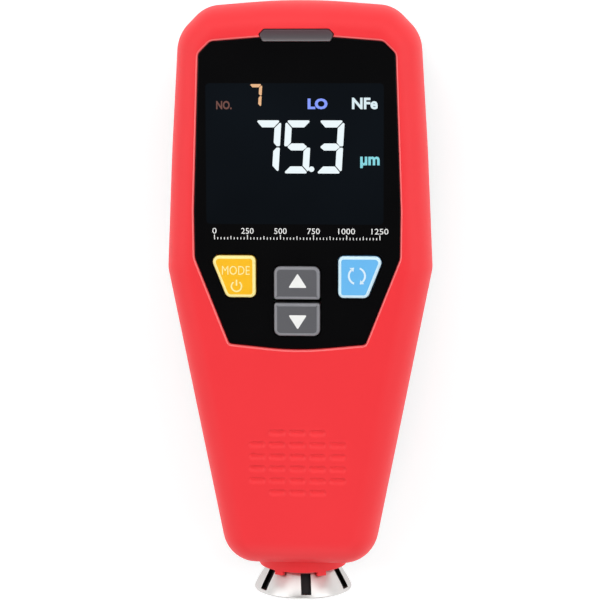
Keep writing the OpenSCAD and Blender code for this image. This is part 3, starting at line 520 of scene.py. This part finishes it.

# Diffusing acrylic: a milky grey, painted darker and mauve towards its top as a painted reflection of the red
# case, with a pale painted highlight along its lower edge, and a slightly uneven satin face.
cloud_mm = 0.8
lens_acrylic, tree, shader, place = new_material("diffusing_acrylic_painted_light")
height = add(tree, "ShaderNodeSeparateXYZ", {}, {"Vector": place}).outputs["Y"]
# Painted light by height: pale at the foot, darker and mauve towards the top.
painted_light_share = add(tree, "ShaderNodeMapRange", {"From Min": lens_foot * MM, "From Max": lens_top * MM},
           {"Value": height})
ramp = add(tree, "ShaderNodeValToRGB", {}, {"Fac": painted_light_share.outputs["Result"]})
ramp.color_ramp.elements[0].color = linear("#857E80")
ramp.color_ramp.elements[1].color = linear("#563F46")
for stop, shade in ((0.14, "#6C6568"), (0.3, "#585356"), (0.7, "#55454A")):
    ramp.color_ramp.elements.new(stop).color = linear(shade)
cloud = add(tree, "ShaderNodeTexNoise", {"Scale": 1 / (cloud_mm * MM), "Detail": 2.0}, {"Vector": place})
gloss = add(tree, "ShaderNodeMapRange", {"To Min": 0.3, "To Max": 0.38}, {"Value": cloud.outputs["Fac"]})
set_up(tree, shader, {"IOR": acrylic_ior},
       {"Base Color": ramp.outputs["Color"], "Roughness": gloss.outputs["Result"]})
smooth(lens, [lens_acrylic])
placed(lens, "case", "lens_acrylic", "indicator_lens")


# Keys: four moulded caps that travel in the panel's openings, each with a flange under the deck and a
# stem over its switch. Their bevelled rims are painted paler than their faces, a painted highlight.
key_z, stem_end = high("mode_key")[2], low("mode_key")[2]
rim_w, rim_h, stem_r, root = 0.62, 0.5, 1.5, 0.2
flange_w, flange_t, flange_gap = 0.9, 1.0, 0.1
flange_top = deck_under - flange_gap
flange_z = flange_top - flange_t
arrow_mid = (arrow_top + arrow_foot) / 2
arrow_key = box_loop(-arrow_w / 2, arrow_top - arrow_h, arrow_w / 2, arrow_top)


def side_ring(inset):
    """Outline of the right-hand key."""
    return outline(side_key, side_radii, inset, steps=8)


def arrow_ring(inset):
    """Outline of the upper grey key, with tighter corners on the side of its neighbour."""
    return outline(arrow_key, [arrow_far_r, arrow_far_r, arrow_near_r, arrow_near_r], inset, steps=8)


def as_drawn(loop):
    """Leaves an outline where it is."""
    return loop


def flipped_y(loop):
    """Mirror of an outline below the middle of the grey pair."""
    return (loop * (1, -1) + (0, 2 * arrow_mid))[::-1]


def key_cap(name, loop_at, flange_loop, stem, turn):
    """Cap with a rounded rim, a flange and a stem; turn moves it from its drawn place to its own."""
    profile = [(0, flange_top - root), (0, key_z - rim_h)]
    profile += [(inset, key_z - down) for inset, down in rounding(rim_w, rim_h, (20, 40, 58, 75, 90))]
    cap = loft(name, [raised(turn(loop_at(inset)), z) for inset, z in profile])
    carve(cap, prism("flange", turn(flange_loop), flange_z, flange_top), "UNION")
    carve(cap, prism("stem", turn(circle(*stem, stem_r)), stem_end, flange_z + root), "UNION")
    return cap


def key_finish(cap, fill, rim):
    """Face and rim of a key as two finishes of one moulding, the rim a paler painted highlight."""
    steep, flat = 0.03, 0.995
    smooth(cap, [fill, rim], angle=40)
    # The rim's sloped faces take the paler painted highlight.
    for face in cap.data.polygons:
        sloped = steep < face.normal.z < flat
        face.material_index = 1 if sloped and face.center.z > (key_z - rim_h) * MM else 0


side_flange = side_ring(-flange_w)
arrow_flange = box_loop(-arrow_w / 2 - flange_w, arrow_top - arrow_h,
                        arrow_w / 2 + flange_w, arrow_top + flange_w)
side_mid_y = (side_key[0][1] + side_key[2][1]) / 2
side_stem = ((side_key[0][0] + (side_key[1][0] + side_key[2][0]) / 2) / 2, side_mid_y)
arrow_stem = (0, arrow_top - arrow_h / 2)

# Moulded ABS in its own colour: a satin face with a fine even grain, drawn at 0.3 mm because its true
# 0.05 mm is too fine to show.
face_look = {"patch_mm": 6, "grain_mm": 0.3, "depth_mm": 0.005, "rough": 0.45, "gleam": 0.35}
yellow = grained("yellow_moulded_abs", "#FBBF1E", "#F8BA18", **face_look)
blue = grained("blue_moulded_abs", "#6DBCF2", "#67B7EF", **face_look)
grey = grained("grey_moulded_abs", "#606064", "#5A5A5E", **face_look)
# Painted highlight on the rims: a paler, glossier border than the face.
rim_look = {"patch_mm": 3, "grain_mm": 0.3, "depth_mm": 0.003}
yellow_highlight = grained("yellow_abs_painted_highlight", "#FFF2A2", "#FFEC92", rough=0.35, **rim_look)
blue_highlight = grained("blue_abs_painted_highlight", "#D6F2FE", "#CBECFB", rough=0.35, **rim_look)
grey_highlight = grained("grey_abs_painted_highlight", "#8A8A8F", "#7F7F84", rough=0.38, **rim_look)
keys = [
    ("mode", side_ring, side_flange, side_stem, flipped_x, yellow, yellow_highlight, "yellow_key"),
    ("zero", side_ring, side_flange, side_stem, as_drawn, blue, blue_highlight, "blue_key"),
    ("up", arrow_ring, arrow_flange, arrow_stem, as_drawn, grey, grey_highlight, "grey_key"),
    ("down", arrow_ring, arrow_flange, arrow_stem, flipped_y, grey, grey_highlight, "grey_key"),
]
for name, loop_at, flange_loop, stem, turn, fill, rim, slot in keys:
    cap = key_cap(name + "_cap", loop_at, flange_loop, stem, turn)
    key_finish(cap, fill, rim)
    placed(cap, name + "_button", slot, name + "_key")


# Key signs: screen-printed arrows on the grey keys, two turning arrows on the blue one, and a short
# word over a power sign on the yellow one, each in one pass of ink about 0.02 mm thick.
ink_t = 0.02


def film(name, loops, material, z, thick=ink_t):
    """Flat signs cut from outlines, lying on a surface."""
    piece = joined(name, [prism("sign", np.array(loop), z, z + thick) for loop in loops])
    piece.data.materials.append(material)
    return piece


def lettering(name, words, x0, y0, x1, y1, z, material, bold=0.0):
    """Plain letters or numbers that fill a box, as a thin film."""
    curve = bpy.data.curves.new(name, "FONT")
    curve.body = words
    curve.offset = bold
    curve.resolution_u = 3
    curve.extrude = 0.5
    stand_in = bpy.data.objects.new(name, curve)
    bpy.context.scene.collection.objects.link(stand_in)
    solid = bpy.data.meshes.new_from_object(stand_in.evaluated_get(bpy.context.evaluated_depsgraph_get()))
    bpy.data.objects.remove(stand_in)
    points = np.array([v.co for v in solid.vertices])
    points = (points - points.min(0)) / np.ptp(points, axis=0) * (x1 - x0, y1 - y0, ink_t) + (x0, y0, z)
    piece = build(name, points, [tuple(f.vertices) for f in solid.polygons])
    piece.data.materials.append(material)
    return piece


def printed(name, light, dark):
    """Opaque screen-printed ink, slightly uneven where it lies thin."""
    return grained(name, light, dark, patch_mm=1.5, grain_mm=0.2, depth_mm=0.004, rough=0.5)


def band(x, y, r, w, start, end, steps=28):
    """Outline of a part of a ring, clockwise from start to end in degrees."""
    turns = np.radians(np.linspace(start, end, steps))
    outer = [(x + (r + w / 2) * math.cos(t), y + (r + w / 2) * math.sin(t)) for t in turns]
    inner = [(x + (r - w / 2) * math.cos(t), y + (r - w / 2) * math.sin(t)) for t in turns[::-1]]
    return np.array(outer + inner)


def arrow_head(x, y, r, at, size):
    """Arrow head on a ring, pointing clockwise."""
    slimness = 1.3
    t = math.radians(at)
    middle = np.array([x + r * math.cos(t), y + r * math.sin(t)])
    out, along = np.array([math.cos(t), math.sin(t)]), np.array([math.sin(t), -math.cos(t)])
    return np.array([middle + out * size, middle + along * slimness * size, middle - out * size])


# Screen-printed ink: opaque and matt, a little uneven where it lies thin.
white_ink = printed("white_screen_ink", "#F6F6F4", "#ECECEA")
pale_ink = printed("pale_blue_screen_ink", "#E2F3FD", "#D2EBFA")
cream_ink = printed("cream_screen_ink", "#FFF3AE", "#FFEA94")

tip_r = 0.12
up_arrow = outline([(0.15, 7.3), (2.0, 4.4), (-1.7, 4.4)], [tip_r] * 3, steps=3)
up_sign = film("up_sign", [up_arrow], white_ink, key_z)
down_sign = film("down_sign", [flipped_y(up_arrow)], white_ink, key_z)
turn_x, turn_y, turn_r, turn_w, head = 12.05, 6.87, 1.62, 0.38, 0.55
turn_starts, turn_sweep, head_back = (250, 70), 120, 2
turn_marks = [band(turn_x, turn_y, turn_r, turn_w, start, start - turn_sweep) for start in turn_starts]
turn_marks += [arrow_head(turn_x, turn_y, turn_r, start - turn_sweep + head_back, head)
               for start in turn_starts]
turn_sign = film("turn_sign", turn_marks, pale_ink, key_z)
power_x, power_y, power_r, power_w, power_foot, power_top = -12.14, 4.62, 1.02, 0.3, 4.72, 5.96
power_bar = box_loop(power_x - power_w / 2, power_foot, power_x + power_w / 2, power_top)
power_ring = band(power_x, power_y, power_r, power_w, 55, -235)
power_sign = film("power_sign", [power_ring, power_bar], cream_ink, key_z)
mode_sign = lettering("mode_sign", "MODE", -15.05, 6.95, -9.45, 8.75, key_z, cream_ink)
for piece, body, slot in ((up_sign, "up_button", "grey_key"), (down_sign, "down_button", "grey_key"),
                          (turn_sign, "zero_button", "blue_key"), (power_sign, "mode_button", "yellow_key"),
                          (mode_sign, "mode_button", "yellow_key")):
    placed(piece, body, slot)


# Display figures: the lit liquid crystal seen through the panel, a faint blue-black field with white
# slanted figures and small coloured signs. Each is drawn as a thin lit film on the window.
field_t = 0.008
sign_z = panel_z + field_t


def lit(name, light, dark, cell_mm=0.6):
    """Lit film whose light is a little uneven from place to place."""
    material, tree, shader, place = new_material(name)
    cell = add(tree, "ShaderNodeTexNoise", {"Scale": 1 / (cell_mm * MM), "Detail": 2.0}, {"Vector": place})
    shade = add(tree, "ShaderNodeMix", {"data_type": "RGBA", 6: linear(dark), 7: linear(light)},
                {0: cell.outputs["Fac"]})
    set_up(tree, shader, {"Base Color": linear("#020203"), "Roughness": 0.15, "IOR": acrylic_ior,
                          "Emission Strength": 1.0}, {"Emission Color": shade.outputs[2]})
    return material


def segments(x, y, width, height, bar, shown, slant=0.06):
    """Outlines of the named bars of a seven-bar figure whose lower left corner is at x, y."""
    side_share, gap_share, corner_share = 0.92, 0.1, 0.16
    w, h, t, s, g = width, height, bar, side_share * bar, gap_share * bar
    m = h / 2
    bars = {
        "a": [(g, h), (w - g, h), (w - s - g, h - t), (s + g, h - t)],
        "b": [(w, h - g), (w, m + g), (w - s / 2, m + g), (w - s, m + t / 2 + g), (w - s, h - t - g)],
        "c": [(w, m - g), (w, g), (w - s, t + g), (w - s, m - t / 2 - g), (w - s / 2, m - g)],
        "d": [(s + g, t), (w - s - g, t), (w - g, 0), (g, 0)],
        "f": [(s, h - t - g), (s, m + t / 2 + g), (s / 2, m + g), (0, m + g), (0, h - g)],
        "g": [(s + g, m + t / 2), (w - s - g, m + t / 2), (w - s / 3 - g, m), (w - s - g, m - t / 2),
              (s + g, m - t / 2), (s / 3 + g, m)],
    }
    rounded = []
    for key in shown:
        corners = [(x + px + (py - m) * slant, y + py) for px, py in bars[key]]
        rounded.append(outline(corners, [corner_share * bar] * len(corners), steps=3))
    return rounded


# Lit liquid crystal: plain even light in the colour of each sign, and a faint glow in the field.
dark_lit = lit("dark_liquid_crystal", "#0D1319", "#04070A", cell_mm=24)
white_lit = lit("white_liquid_crystal", "#F4FCFF", "#E8F6FB")
amber_lit = lit("amber_liquid_crystal", "#F0C49A", "#E0A878")
blue_lit = lit("blue_liquid_crystal", "#93A8FF", "#7C94FC")
pale_lit = lit("pale_liquid_crystal", "#E8F6FA", "#CFE6EE")
cyan_lit = lit("cyan_liquid_crystal", "#9FE6EE", "#6CC9D6")
rust_lit = lit("rust_liquid_crystal", "#7C564E", "#684741")

field_r = 0.8
field = outline(box_loop(-18.2, 17.1, 17.3, 45.2), [field_r] * 4)
figure_w, figure_h, figure_y, figure_bar = 5.2, 10.55, 27.3, 1.4
point_x, point_y, point_r = 2.95, 28.15, 0.55
shown = [circle(point_x, point_y, point_r, steps=20)]
for x, bars in ((-8.55, "abc"), (-2.5, "acdfg"), (4.05, "abcdg")):
    shown += segments(x, figure_y, figure_w, figure_h, figure_bar, bars)
display = [
    film("display_window", [field], dark_lit, panel_z, field_t),
    film("reading_figures", shown, white_lit, sign_z),
    film("count_figure", segments(-9.55, 40.4, 2.6, 4.62, 0.64, "abc"), amber_lit, sign_z),
    lettering("low_sign", "LO", 2.2, 40.05, 6.15, 42.2, sign_z, blue_lit, bold=0.045),
    lettering("base_sign", "NFe", 11.0, 40.05, 16.1, 42.35, sign_z, pale_lit, bold=0.035),
    lettering("unit_sign", "µm", 12.65, 28.4, 16.5, 30.7, sign_z, cyan_lit, bold=0.035),
    lettering("count_sign", "NO.", -16.05, 40.0, -12.95, 41.7, sign_z, rust_lit, bold=0.03),
]
for piece in display:
    placed(piece, "case", "display_glass")


# Range scale: a row of white ink strokes with plain numbers, screen-printed on the panel under the
# display, with a taller stroke at each fifth and a number at each tenth.
scale_half, scale_y, stroke_w, parts, number_parts = 16.6, 14.0, 0.16, 50, 10
long_stroke, middle_stroke, short_stroke = 0.95, 0.7, 0.45
number_y, number_h, digit_w, number_step = 15.15, 1.15, 0.84, 250
strokes = []
for k in range(parts + 1):
    x = -scale_half + 2 * scale_half * k / parts
    tall = short_stroke
    if k % number_parts == 0:
        tall = long_stroke
    elif 2 * k % number_parts == 0:
        tall = middle_stroke
    strokes.append(box_loop(x - stroke_w / 2, scale_y, x + stroke_w / 2, scale_y + tall))
scale = [film("range_scale", strokes, white_ink, panel_z)]
for k in range(parts // number_parts + 1):
    words = str(number_step * k)
    x, half = -scale_half + 2 * scale_half * k * number_parts / parts, digit_w * len(words) / 2
    scale.append(lettering(f"range_number_{k}", words, x - half, number_y, x + half, number_y + number_h,
                           panel_z, white_ink))
for piece in scale:
    placed(piece, "case", "panel_acrylic")


# Display stack and board: a glass cell in a white frame over its light panel, a rubber strip that joins
# it to a green circuit board, and on the board the switches, lamp, chips, beeper and plug.
def finished(material, *nodes):
    """Gives CAD pieces whose form is right their finish."""
    for node in nodes:
        frame["nodes"][node].data.materials.clear()
        frame["nodes"][node].data.materials.append(material)


# Polarised glass: near black and very smooth, with only a trace of unevenness.
polarised = grained("polarised_glass", "#141C22", "#0F151A", patch_mm=6, grain_mm=0.4, depth_mm=0.001,
                    rough=0.1, ior=1.52)
finished(polarised, "lcd_glass")
# Moulded nylon, white: milky and satin, with the fine grain of its tool, drawn coarser at 0.3 mm.
white_nylon = grained("white_moulded_nylon", "#EAEAE6", "#DEDED8", patch_mm=5, grain_mm=0.3, depth_mm=0.006,
                      rough=0.45, ior=1.53)
finished(white_nylon, "lcd_frame", "backlight_panel", "probe_connector", "indicator_led")
# Silicone rubber: black and quite matt, dusty in patches, with a fine dull skin drawn coarser at 0.25 mm.
silicone = grained("black_silicone_rubber", "#232325", "#1C1C1E", patch_mm=3, grain_mm=0.25, depth_mm=0.008,
                   rough=0.7, ior=1.41)
finished(silicone, "contact_strip", "display_gasket")
# Solder mask over copper: a glossy green, lighter over broad tracks that stand up a little under it.
track_mm, copper_t = 12, 0.03
solder_mask, tree, shader, place = new_material("green_solder_mask")
tracks = add(tree, "ShaderNodeTexBrick",
             {"Scale": 1 / (track_mm * MM), "Color1": linear("#2A7A45"), "Color2": linear("#1F6A39"),
              "Mortar": linear("#154D2A"), "Mortar Size": 0.03}, {"Vector": place})
raise_up = add(tree, "ShaderNodeBump", {"Distance": copper_t * MM, "Strength": 0.5, "invert": True},
               {"Height": tracks.outputs["Fac"]})
set_up(tree, shader, {"Roughness": 0.3},
       {"Base Color": tracks.outputs["Color"], "Normal": raise_up.outputs["Normal"]})
finished(solder_mask, "main_board")
# Moulded nylon, black: dark and satin, with the fine grain of its tool, drawn coarser at 0.3 mm.
black_nylon = grained("black_moulded_nylon", "#242427", "#1C1C1F", patch_mm=4, grain_mm=0.3, depth_mm=0.008,
                      rough=0.5, ior=1.53)
finished(black_nylon, "key_switches", "board_chips", "beeper")
# Zinc-plated steel: bright pale grey with faint cloudy patches from the bath and a fine grain, which is
# drawn coarser at 0.2 mm.
zinc = grained("zinc_plated_steel", "#BCC0C4", "#A9ADB2", patch_mm=2, grain_mm=0.2, depth_mm=0.004,
               rough=0.32, metallic=1.0)
finished(zinc, "board_screws")


# Probe skirt: turned brass, polished and chromed, flared like a bell, with six windows milled through
# its wall. Its flange is held in a groove between the two halves of the case.
rim_r, skirt_rim = high("probe_sleeve")[0], y_foot - low("probe_sleeve")[1]
skirt_t, flange_r, flange_back, flange_front = 0.95, 9.4, 4.0, 2.6
bell_gap, bell_rows, bead, bore_shift, bore_end = 0.3, 17, 0.3, 0.2, 3
bell_start = collar_len + bell_gap
flare = [(neck_r, bell_start), (rim_r - 0.65, skirt_rim - 1.7), (rim_r - 0.1, skirt_rim - 0.6),
         (rim_r, skirt_rim - bead)]
bell = []
for h in np.linspace(bell_start, skirt_rim - bead, bell_rows):
    bell.append((np.interp(h, [p[1] for p in flare], [p[0] for p in flare]), h))
bell[1:-1] = [((a[0] + 2 * b[0] + c[0]) / 4, b[1]) for a, b, c in zip(bell, bell[1:], bell[2:])]
outside = [(flange_r, -flange_back), (flange_r, -flange_front), (neck_r, -flange_front)] + bell
outside += [(rim_r - inset, skirt_rim - down) for inset, down in rounding(bead, bead, (25, 50, 75, 90))]
outside.append((rim_r - skirt_t, skirt_rim))
bell_bore = [(r - skirt_t, h + bore_shift) for r, h in bell[:-bore_end]]
skirt = turned("probe_skirt", outside + bell_bore[::-1] + [(neck_r - skirt_t, -flange_back)], steps=224)
window_count, window_turn, window_w, window_start, window_end = 6, 8, 2.1, 0.2, 0.8
for k in range(window_count):
    turn = math.radians(window_turn + 360 / window_count * k)
    carve(skirt, radial_block("window", turn, neck_r - skirt_t, rim_r + 2 * past, window_w,
                              bell_start + window_start, skirt_rim - window_end))

# Chrome plate on a turned ring: bright and mirror-like along the axis, with fine turned lines round it
# that spread each reflection. The true lines of about 0.02 mm are drawn at 0.12 mm.
line_mm, line_depth = 0.12, 0.004
chrome, tree, shader, place = new_material("turned_chrome_plate")
along = add(tree, "ShaderNodeSeparateXYZ", {}, {"Vector": place}).outputs["Y"]
lines = add(tree, "ShaderNodeTexNoise",
            {"noise_dimensions": "1D", "Scale": 1 / (line_mm * MM), "Detail": 2.0}, {"W": along})
gloss = add(tree, "ShaderNodeMapRange", {"To Min": 0.3, "To Max": 0.4}, {"Value": lines.outputs["Fac"]})
bump = add(tree, "ShaderNodeBump", {"Distance": line_depth * MM, "Strength": 0.5},
           {"Height": lines.outputs["Fac"]})
set_up(tree, shader, {"Base Color": linear("#D0CECC"), "Metallic": 1.0},
       {"Roughness": gloss.outputs["Result"], "Normal": bump.outputs["Normal"]})
# Painted shade: the bore and the window edges are painted dark and matt, as the shade inside the skirt.
bore = grained("bore_painted_shade", "#2B2A28", "#201F1E", patch_mm=2, grain_mm=0.15, depth_mm=0.003,
               rough=0.5, metallic=1.0)
least_out, endwise = 0.2, 0.9
# Faces that don't look outwards, in the bore and along the window sides, take the painted shade.
for face in skirt.data.polygons:
    outwards = Vector((face.center.x, 0, face.center.z - probe_z * MM)).normalized().dot(face.normal)
    face.material_index = 1 if outwards < least_out and abs(face.normal.y) < endwise else 0
smooth(skirt, [chrome, bore], angle=25)
placed(skirt, "case", "chrome_plate", "probe_sleeve")


# Shade ring: a ring of black silicone rubber between the skirt and the guide of the measuring head, put in
# as painted shade. It closes the gap behind the windows, so that they look black to their ends.
ring_gap, ring_sink = 0.1, 0.3
guide_r = neck_r - skirt_t - fit
ring_end = skirt_rim - ring_sink
ring_side = [(r - ring_gap, h) for r, h in bell_bore if r - ring_gap > guide_r + ring_gap]
painted_shade_ring = turned("painted_shade_ring", ring_side + [(ring_side[-1][0], ring_end), (guide_r + ring_gap / 2, ring_end),
                                             (guide_r + ring_gap / 2, ring_side[0][1])])
smooth(painted_shade_ring, [silicone])
placed(painted_shade_ring, "case", "silicone")


# Measuring head: a steel pole in a wound nylon bobbin that slides in a steel guide, pushed out by a
# coil spring against the cap, with a lead to the board. All are turned or wound and slid in from behind.
def softened(node, material, body, slot, angle=30):
    """Copy of a CAD piece with its facets welded, so that its round faces shade as round."""
    weld, flatness = 0.001, math.radians(0.5)
    mesh = frame["nodes"][node].data.copy()
    work = bmesh.new()
    work.from_mesh(mesh)
    bmesh.ops.remove_doubles(work, verts=work.verts, dist=weld * MM)
    bmesh.ops.dissolve_limit(work, angle_limit=flatness, verts=work.verts, edges=work.edges)
    work.to_mesh(mesh)
    work.free()
    if "custom_normal" in mesh.attributes:
        mesh.attributes.remove(mesh.attributes["custom_normal"])
    mesh.materials.clear()
    piece = bpy.data.objects.new(node + "_dressed", mesh)
    bpy.context.scene.collection.objects.link(piece)
    smooth(piece, [material], angle)
    placed(piece, body, slot, node)
    return piece


# Ground steel: satin, painted a darker grey than bare steel as painted shade, with the fine grain of the
# wheel in its gloss, drawn coarser at 0.15 mm.
painted_shade_steel = grained("ground_steel_painted_shade", "#6E7072", "#5E6063", patch_mm=1, grain_mm=0.15, depth_mm=0.003,
                 rough=0.35, metallic=1.0)
softened("probe_guide", painted_shade_steel, "case", "tip_steel")
softened("probe_core", painted_shade_steel, "probe_head", "tip_steel")
spring = softened("probe_spring", painted_shade_steel, "case", "tip_steel")
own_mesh(spring)
softened("probe_carrier", black_nylon, "probe_head", "black_plastic")
softened("probe_cap", black_nylon, "case", "black_plastic")
softened("probe_lead", silicone, "case", "silicone")
# Enamelled copper wire: warm metal with the ridges of its turns, about 0.25 mm apart. A wave texture
# runs through 20 radians in one unit of its scale.
wire_mm, ridge, wave_radians = 0.2467, 0.05, 20
copper, tree, shader, place = new_material("enamelled_copper_wire")
turns = add(tree, "ShaderNodeTexWave",
            {"bands_direction": "Y", "Scale": 2 * math.pi / (wave_radians * wire_mm * MM)}, {"Vector": place})
bump = add(tree, "ShaderNodeBump", {"Distance": ridge * MM, "Strength": 0.8},
           {"Height": turns.outputs["Fac"]})
set_up(tree, shader, {"Base Color": linear("#B8692E"), "Metallic": 1.0, "Roughness": 0.3},
       {"Normal": bump.outputs["Normal"]})
softened("probe_coil", copper, "probe_head", "copper_wire")


# Rear housing: the lower half of the case, moulded in dark grey ABS with the battery bay, the cover's
# channel and half of the probe collar. Four screws from the back hold it to the front half.

# Moulded ABS, dark grey: satin, with the same spark-eroded grain as the front, drawn at 0.4 mm.
dark_abs = grained("dark_moulded_abs", "#3D3E41", "#343538", patch_mm=15, grain_mm=0.4, depth_mm=0.012,
                   rough=0.5, ior=1.53)
softened("rear_housing", dark_abs, "case", "dark_abs")
softened("case_screws", zinc, "case", "zinc_steel")


# Cells and contacts: two AAA cells side by side and head to tail in the bay, in plain film jackets, with
# sprung steel contacts at both ends of the bay.
def jacket(name, plus_y, minus_y):
    """Shrunk film over a steel can: dark blue, with a copper-coloured band at the plus end and bare ends."""
    wrinkle_mm, wrinkle_depth = 2.5, 0.02
    material, tree, shader, place = new_material(name)
    along = add(tree, "ShaderNodeSeparateXYZ", {}, {"Vector": place}).outputs["Y"]
    share = add(tree, "ShaderNodeMapRange", {"From Min": minus_y * MM, "From Max": plus_y * MM},
                {"Value": along})
    ramp = add(tree, "ShaderNodeValToRGB", {}, {"Fac": share.outputs["Result"]})
    ramp.color_ramp.interpolation = "CONSTANT"
    ramp.color_ramp.elements[0].color = linear("#B9BCC0")
    ramp.color_ramp.elements[1].position = 0.02
    ramp.color_ramp.elements[1].color = linear("#2C3F5E")
    for stop, shade in ((0.72, "#C08A52"), (0.97, "#B9BCC0")):
        ramp.color_ramp.elements.new(stop).color = linear(shade)
    wrinkle = add(tree, "ShaderNodeTexNoise", {"Scale": 1 / (wrinkle_mm * MM), "Detail": 2.0},
                  {"Vector": place})
    bump = add(tree, "ShaderNodeBump", {"Distance": wrinkle_depth * MM, "Strength": 0.4},
               {"Height": wrinkle.outputs["Fac"]})
    set_up(tree, shader, {"Metallic": 0.7, "Roughness": 0.28},
           {"Base Color": ramp.outputs["Color"], "Normal": bump.outputs["Normal"]})
    return material


left_low, left_high = low("cell_left")[1], high("cell_left")[1]
right_low, right_high = low("cell_right")[1], high("cell_right")[1]
softened("cell_left", jacket("film_jacket_left", left_high, left_low), "case", "cell_jacket")
softened("cell_right", jacket("film_jacket_right", right_low, right_high), "case", "cell_jacket")
for node in ("bridge_contact", "positive_contact", "negative_contact"):
    softened(node, zinc, "case", "tip_steel")


# Battery cover: a sliding lid moulded in the same dark grey ABS, with grip grooves across it and tongues
# along its sides that run in the channel of the rear housing.
softened("battery_cover", dark_abs, "cover", "dark_abs")


# Studio: a pale seamless floor, broad soft lamps round the gauge and pale walls under a dark ceiling.
# The camera looks down on the gauge as it lies on its back.
floor_half, floor_z = 700, -0.05
floor_loop = box_loop(-floor_half, -floor_half, floor_half, floor_half)
floor = build("floor", raised(floor_loop, floor_z), [(3, 2, 1, 0)])
# Seamless paper: pale and quite matt, barely uneven. It glows a little to the camera and in reflections,
# so that it looks white there, but it sheds no glow on the gauge and keeps the gauge's shadow.
fibre_mm, paper_glow = 60, 0.42
paper, tree, shader, place = new_material("pale_seamless_paper")
fibre = add(tree, "ShaderNodeTexNoise", {"Scale": 1 / (fibre_mm * MM), "Detail": 3.0}, {"Vector": place})
shade = add(tree, "ShaderNodeMix", {"data_type": "RGBA", 6: linear("#E9E9E9"), 7: linear("#EDEDED")},
            {0: fibre.outputs["Fac"]})
rays = add(tree, "ShaderNodeLightPath").outputs
mirrored_or_seen = add(tree, "ShaderNodeMath", {"operation": "MAXIMUM"},
                       {0: rays["Is Camera Ray"], 1: rays["Is Glossy Ray"]})
seen = add(tree, "ShaderNodeMath", {"operation": "MAXIMUM"},
           {0: mirrored_or_seen.outputs[0], 1: rays["Is Transmission Ray"]})
backing = add(tree, "ShaderNodeMath", {"operation": "MULTIPLY", 1: paper_glow}, {0: seen.outputs[0]})
set_up(tree, shader, {"Emission Color": linear("#FFFFFF"), "Roughness": 0.9, "Specular IOR Level": 0.0},
       {"Base Color": shade.outputs[2], "Emission Strength": backing.outputs[0]})
floor.data.materials.append(paper)

# Each lamp's place, width and depth in metres, and its power in watts.
lamps = [
    ((0, 0.6, 0.58), 1.3, 0.5, 3.6),
    ((-0.6, 0.1, 0.52), 0.6, 0.6, 2.25),
    ((0.6, 0.1, 0.52), 0.6, 0.6, 2.4),
    ((0, -0.6, 0.52), 0.6, 0.6, 1.65),
]
for number, (spot, width, depth, power) in enumerate(lamps):
    light = bpy.data.lights.new(f"soft_lamp_{number}", "AREA")
    light.shape = "RECTANGLE"
    light.size, light.size_y, light.energy = width, depth, power
    lamp = bpy.data.objects.new(light.name, light)
    lamp.location = spot
    lamp.rotation_euler = Vector(spot).to_track_quat("Z", "Y").to_euler()
    bpy.context.scene.collection.objects.link(lamp)

world = bpy.data.worlds.new("pale_walls")
world.use_nodes = True
tree = world.node_tree
outwards = add(tree, "ShaderNodeTexCoord").outputs["Generated"]
upwards = add(tree, "ShaderNodeSeparateXYZ", {}, {"Vector": outwards})
glow = add(tree, "ShaderNodeMapRange", {"From Min": 0.05, "From Max": 0.75, "To Min": 1.0, "To Max": 0.03},
           {"Value": upwards.outputs["Z"]})
set_up(tree, tree.nodes["Background"], {"Color": linear("#FFFFFF")}, {"Strength": glow.outputs["Result"]})
bpy.context.scene.world = world
bpy.context.scene.view_settings.view_transform = "Standard"

azimuth, elevation, roll, reach = math.radians(4.5), math.radians(8), math.radians(0.16), 0.45
target = Vector((-0.00045, 0, 0.014))
back = Vector((math.sin(azimuth) * math.cos(elevation), math.sin(elevation),
               math.cos(azimuth) * math.cos(elevation)))
right = Matrix.Rotation(-roll, 3, back) @ Vector((0, 1, 0)).cross(back).normalized()
camera_data = bpy.data.cameras.new("camera")
camera_data.lens, camera_data.sensor_width = 130.5, 36.0
camera = bpy.data.objects.new("camera", camera_data)
camera.matrix_world = Matrix.Translation(target + back * reach) @ Matrix(
    (right, back.cross(right), back)).transposed().to_4x4()
bpy.context.scene.collection.objects.link(camera)
bpy.context.scene.camera = camera
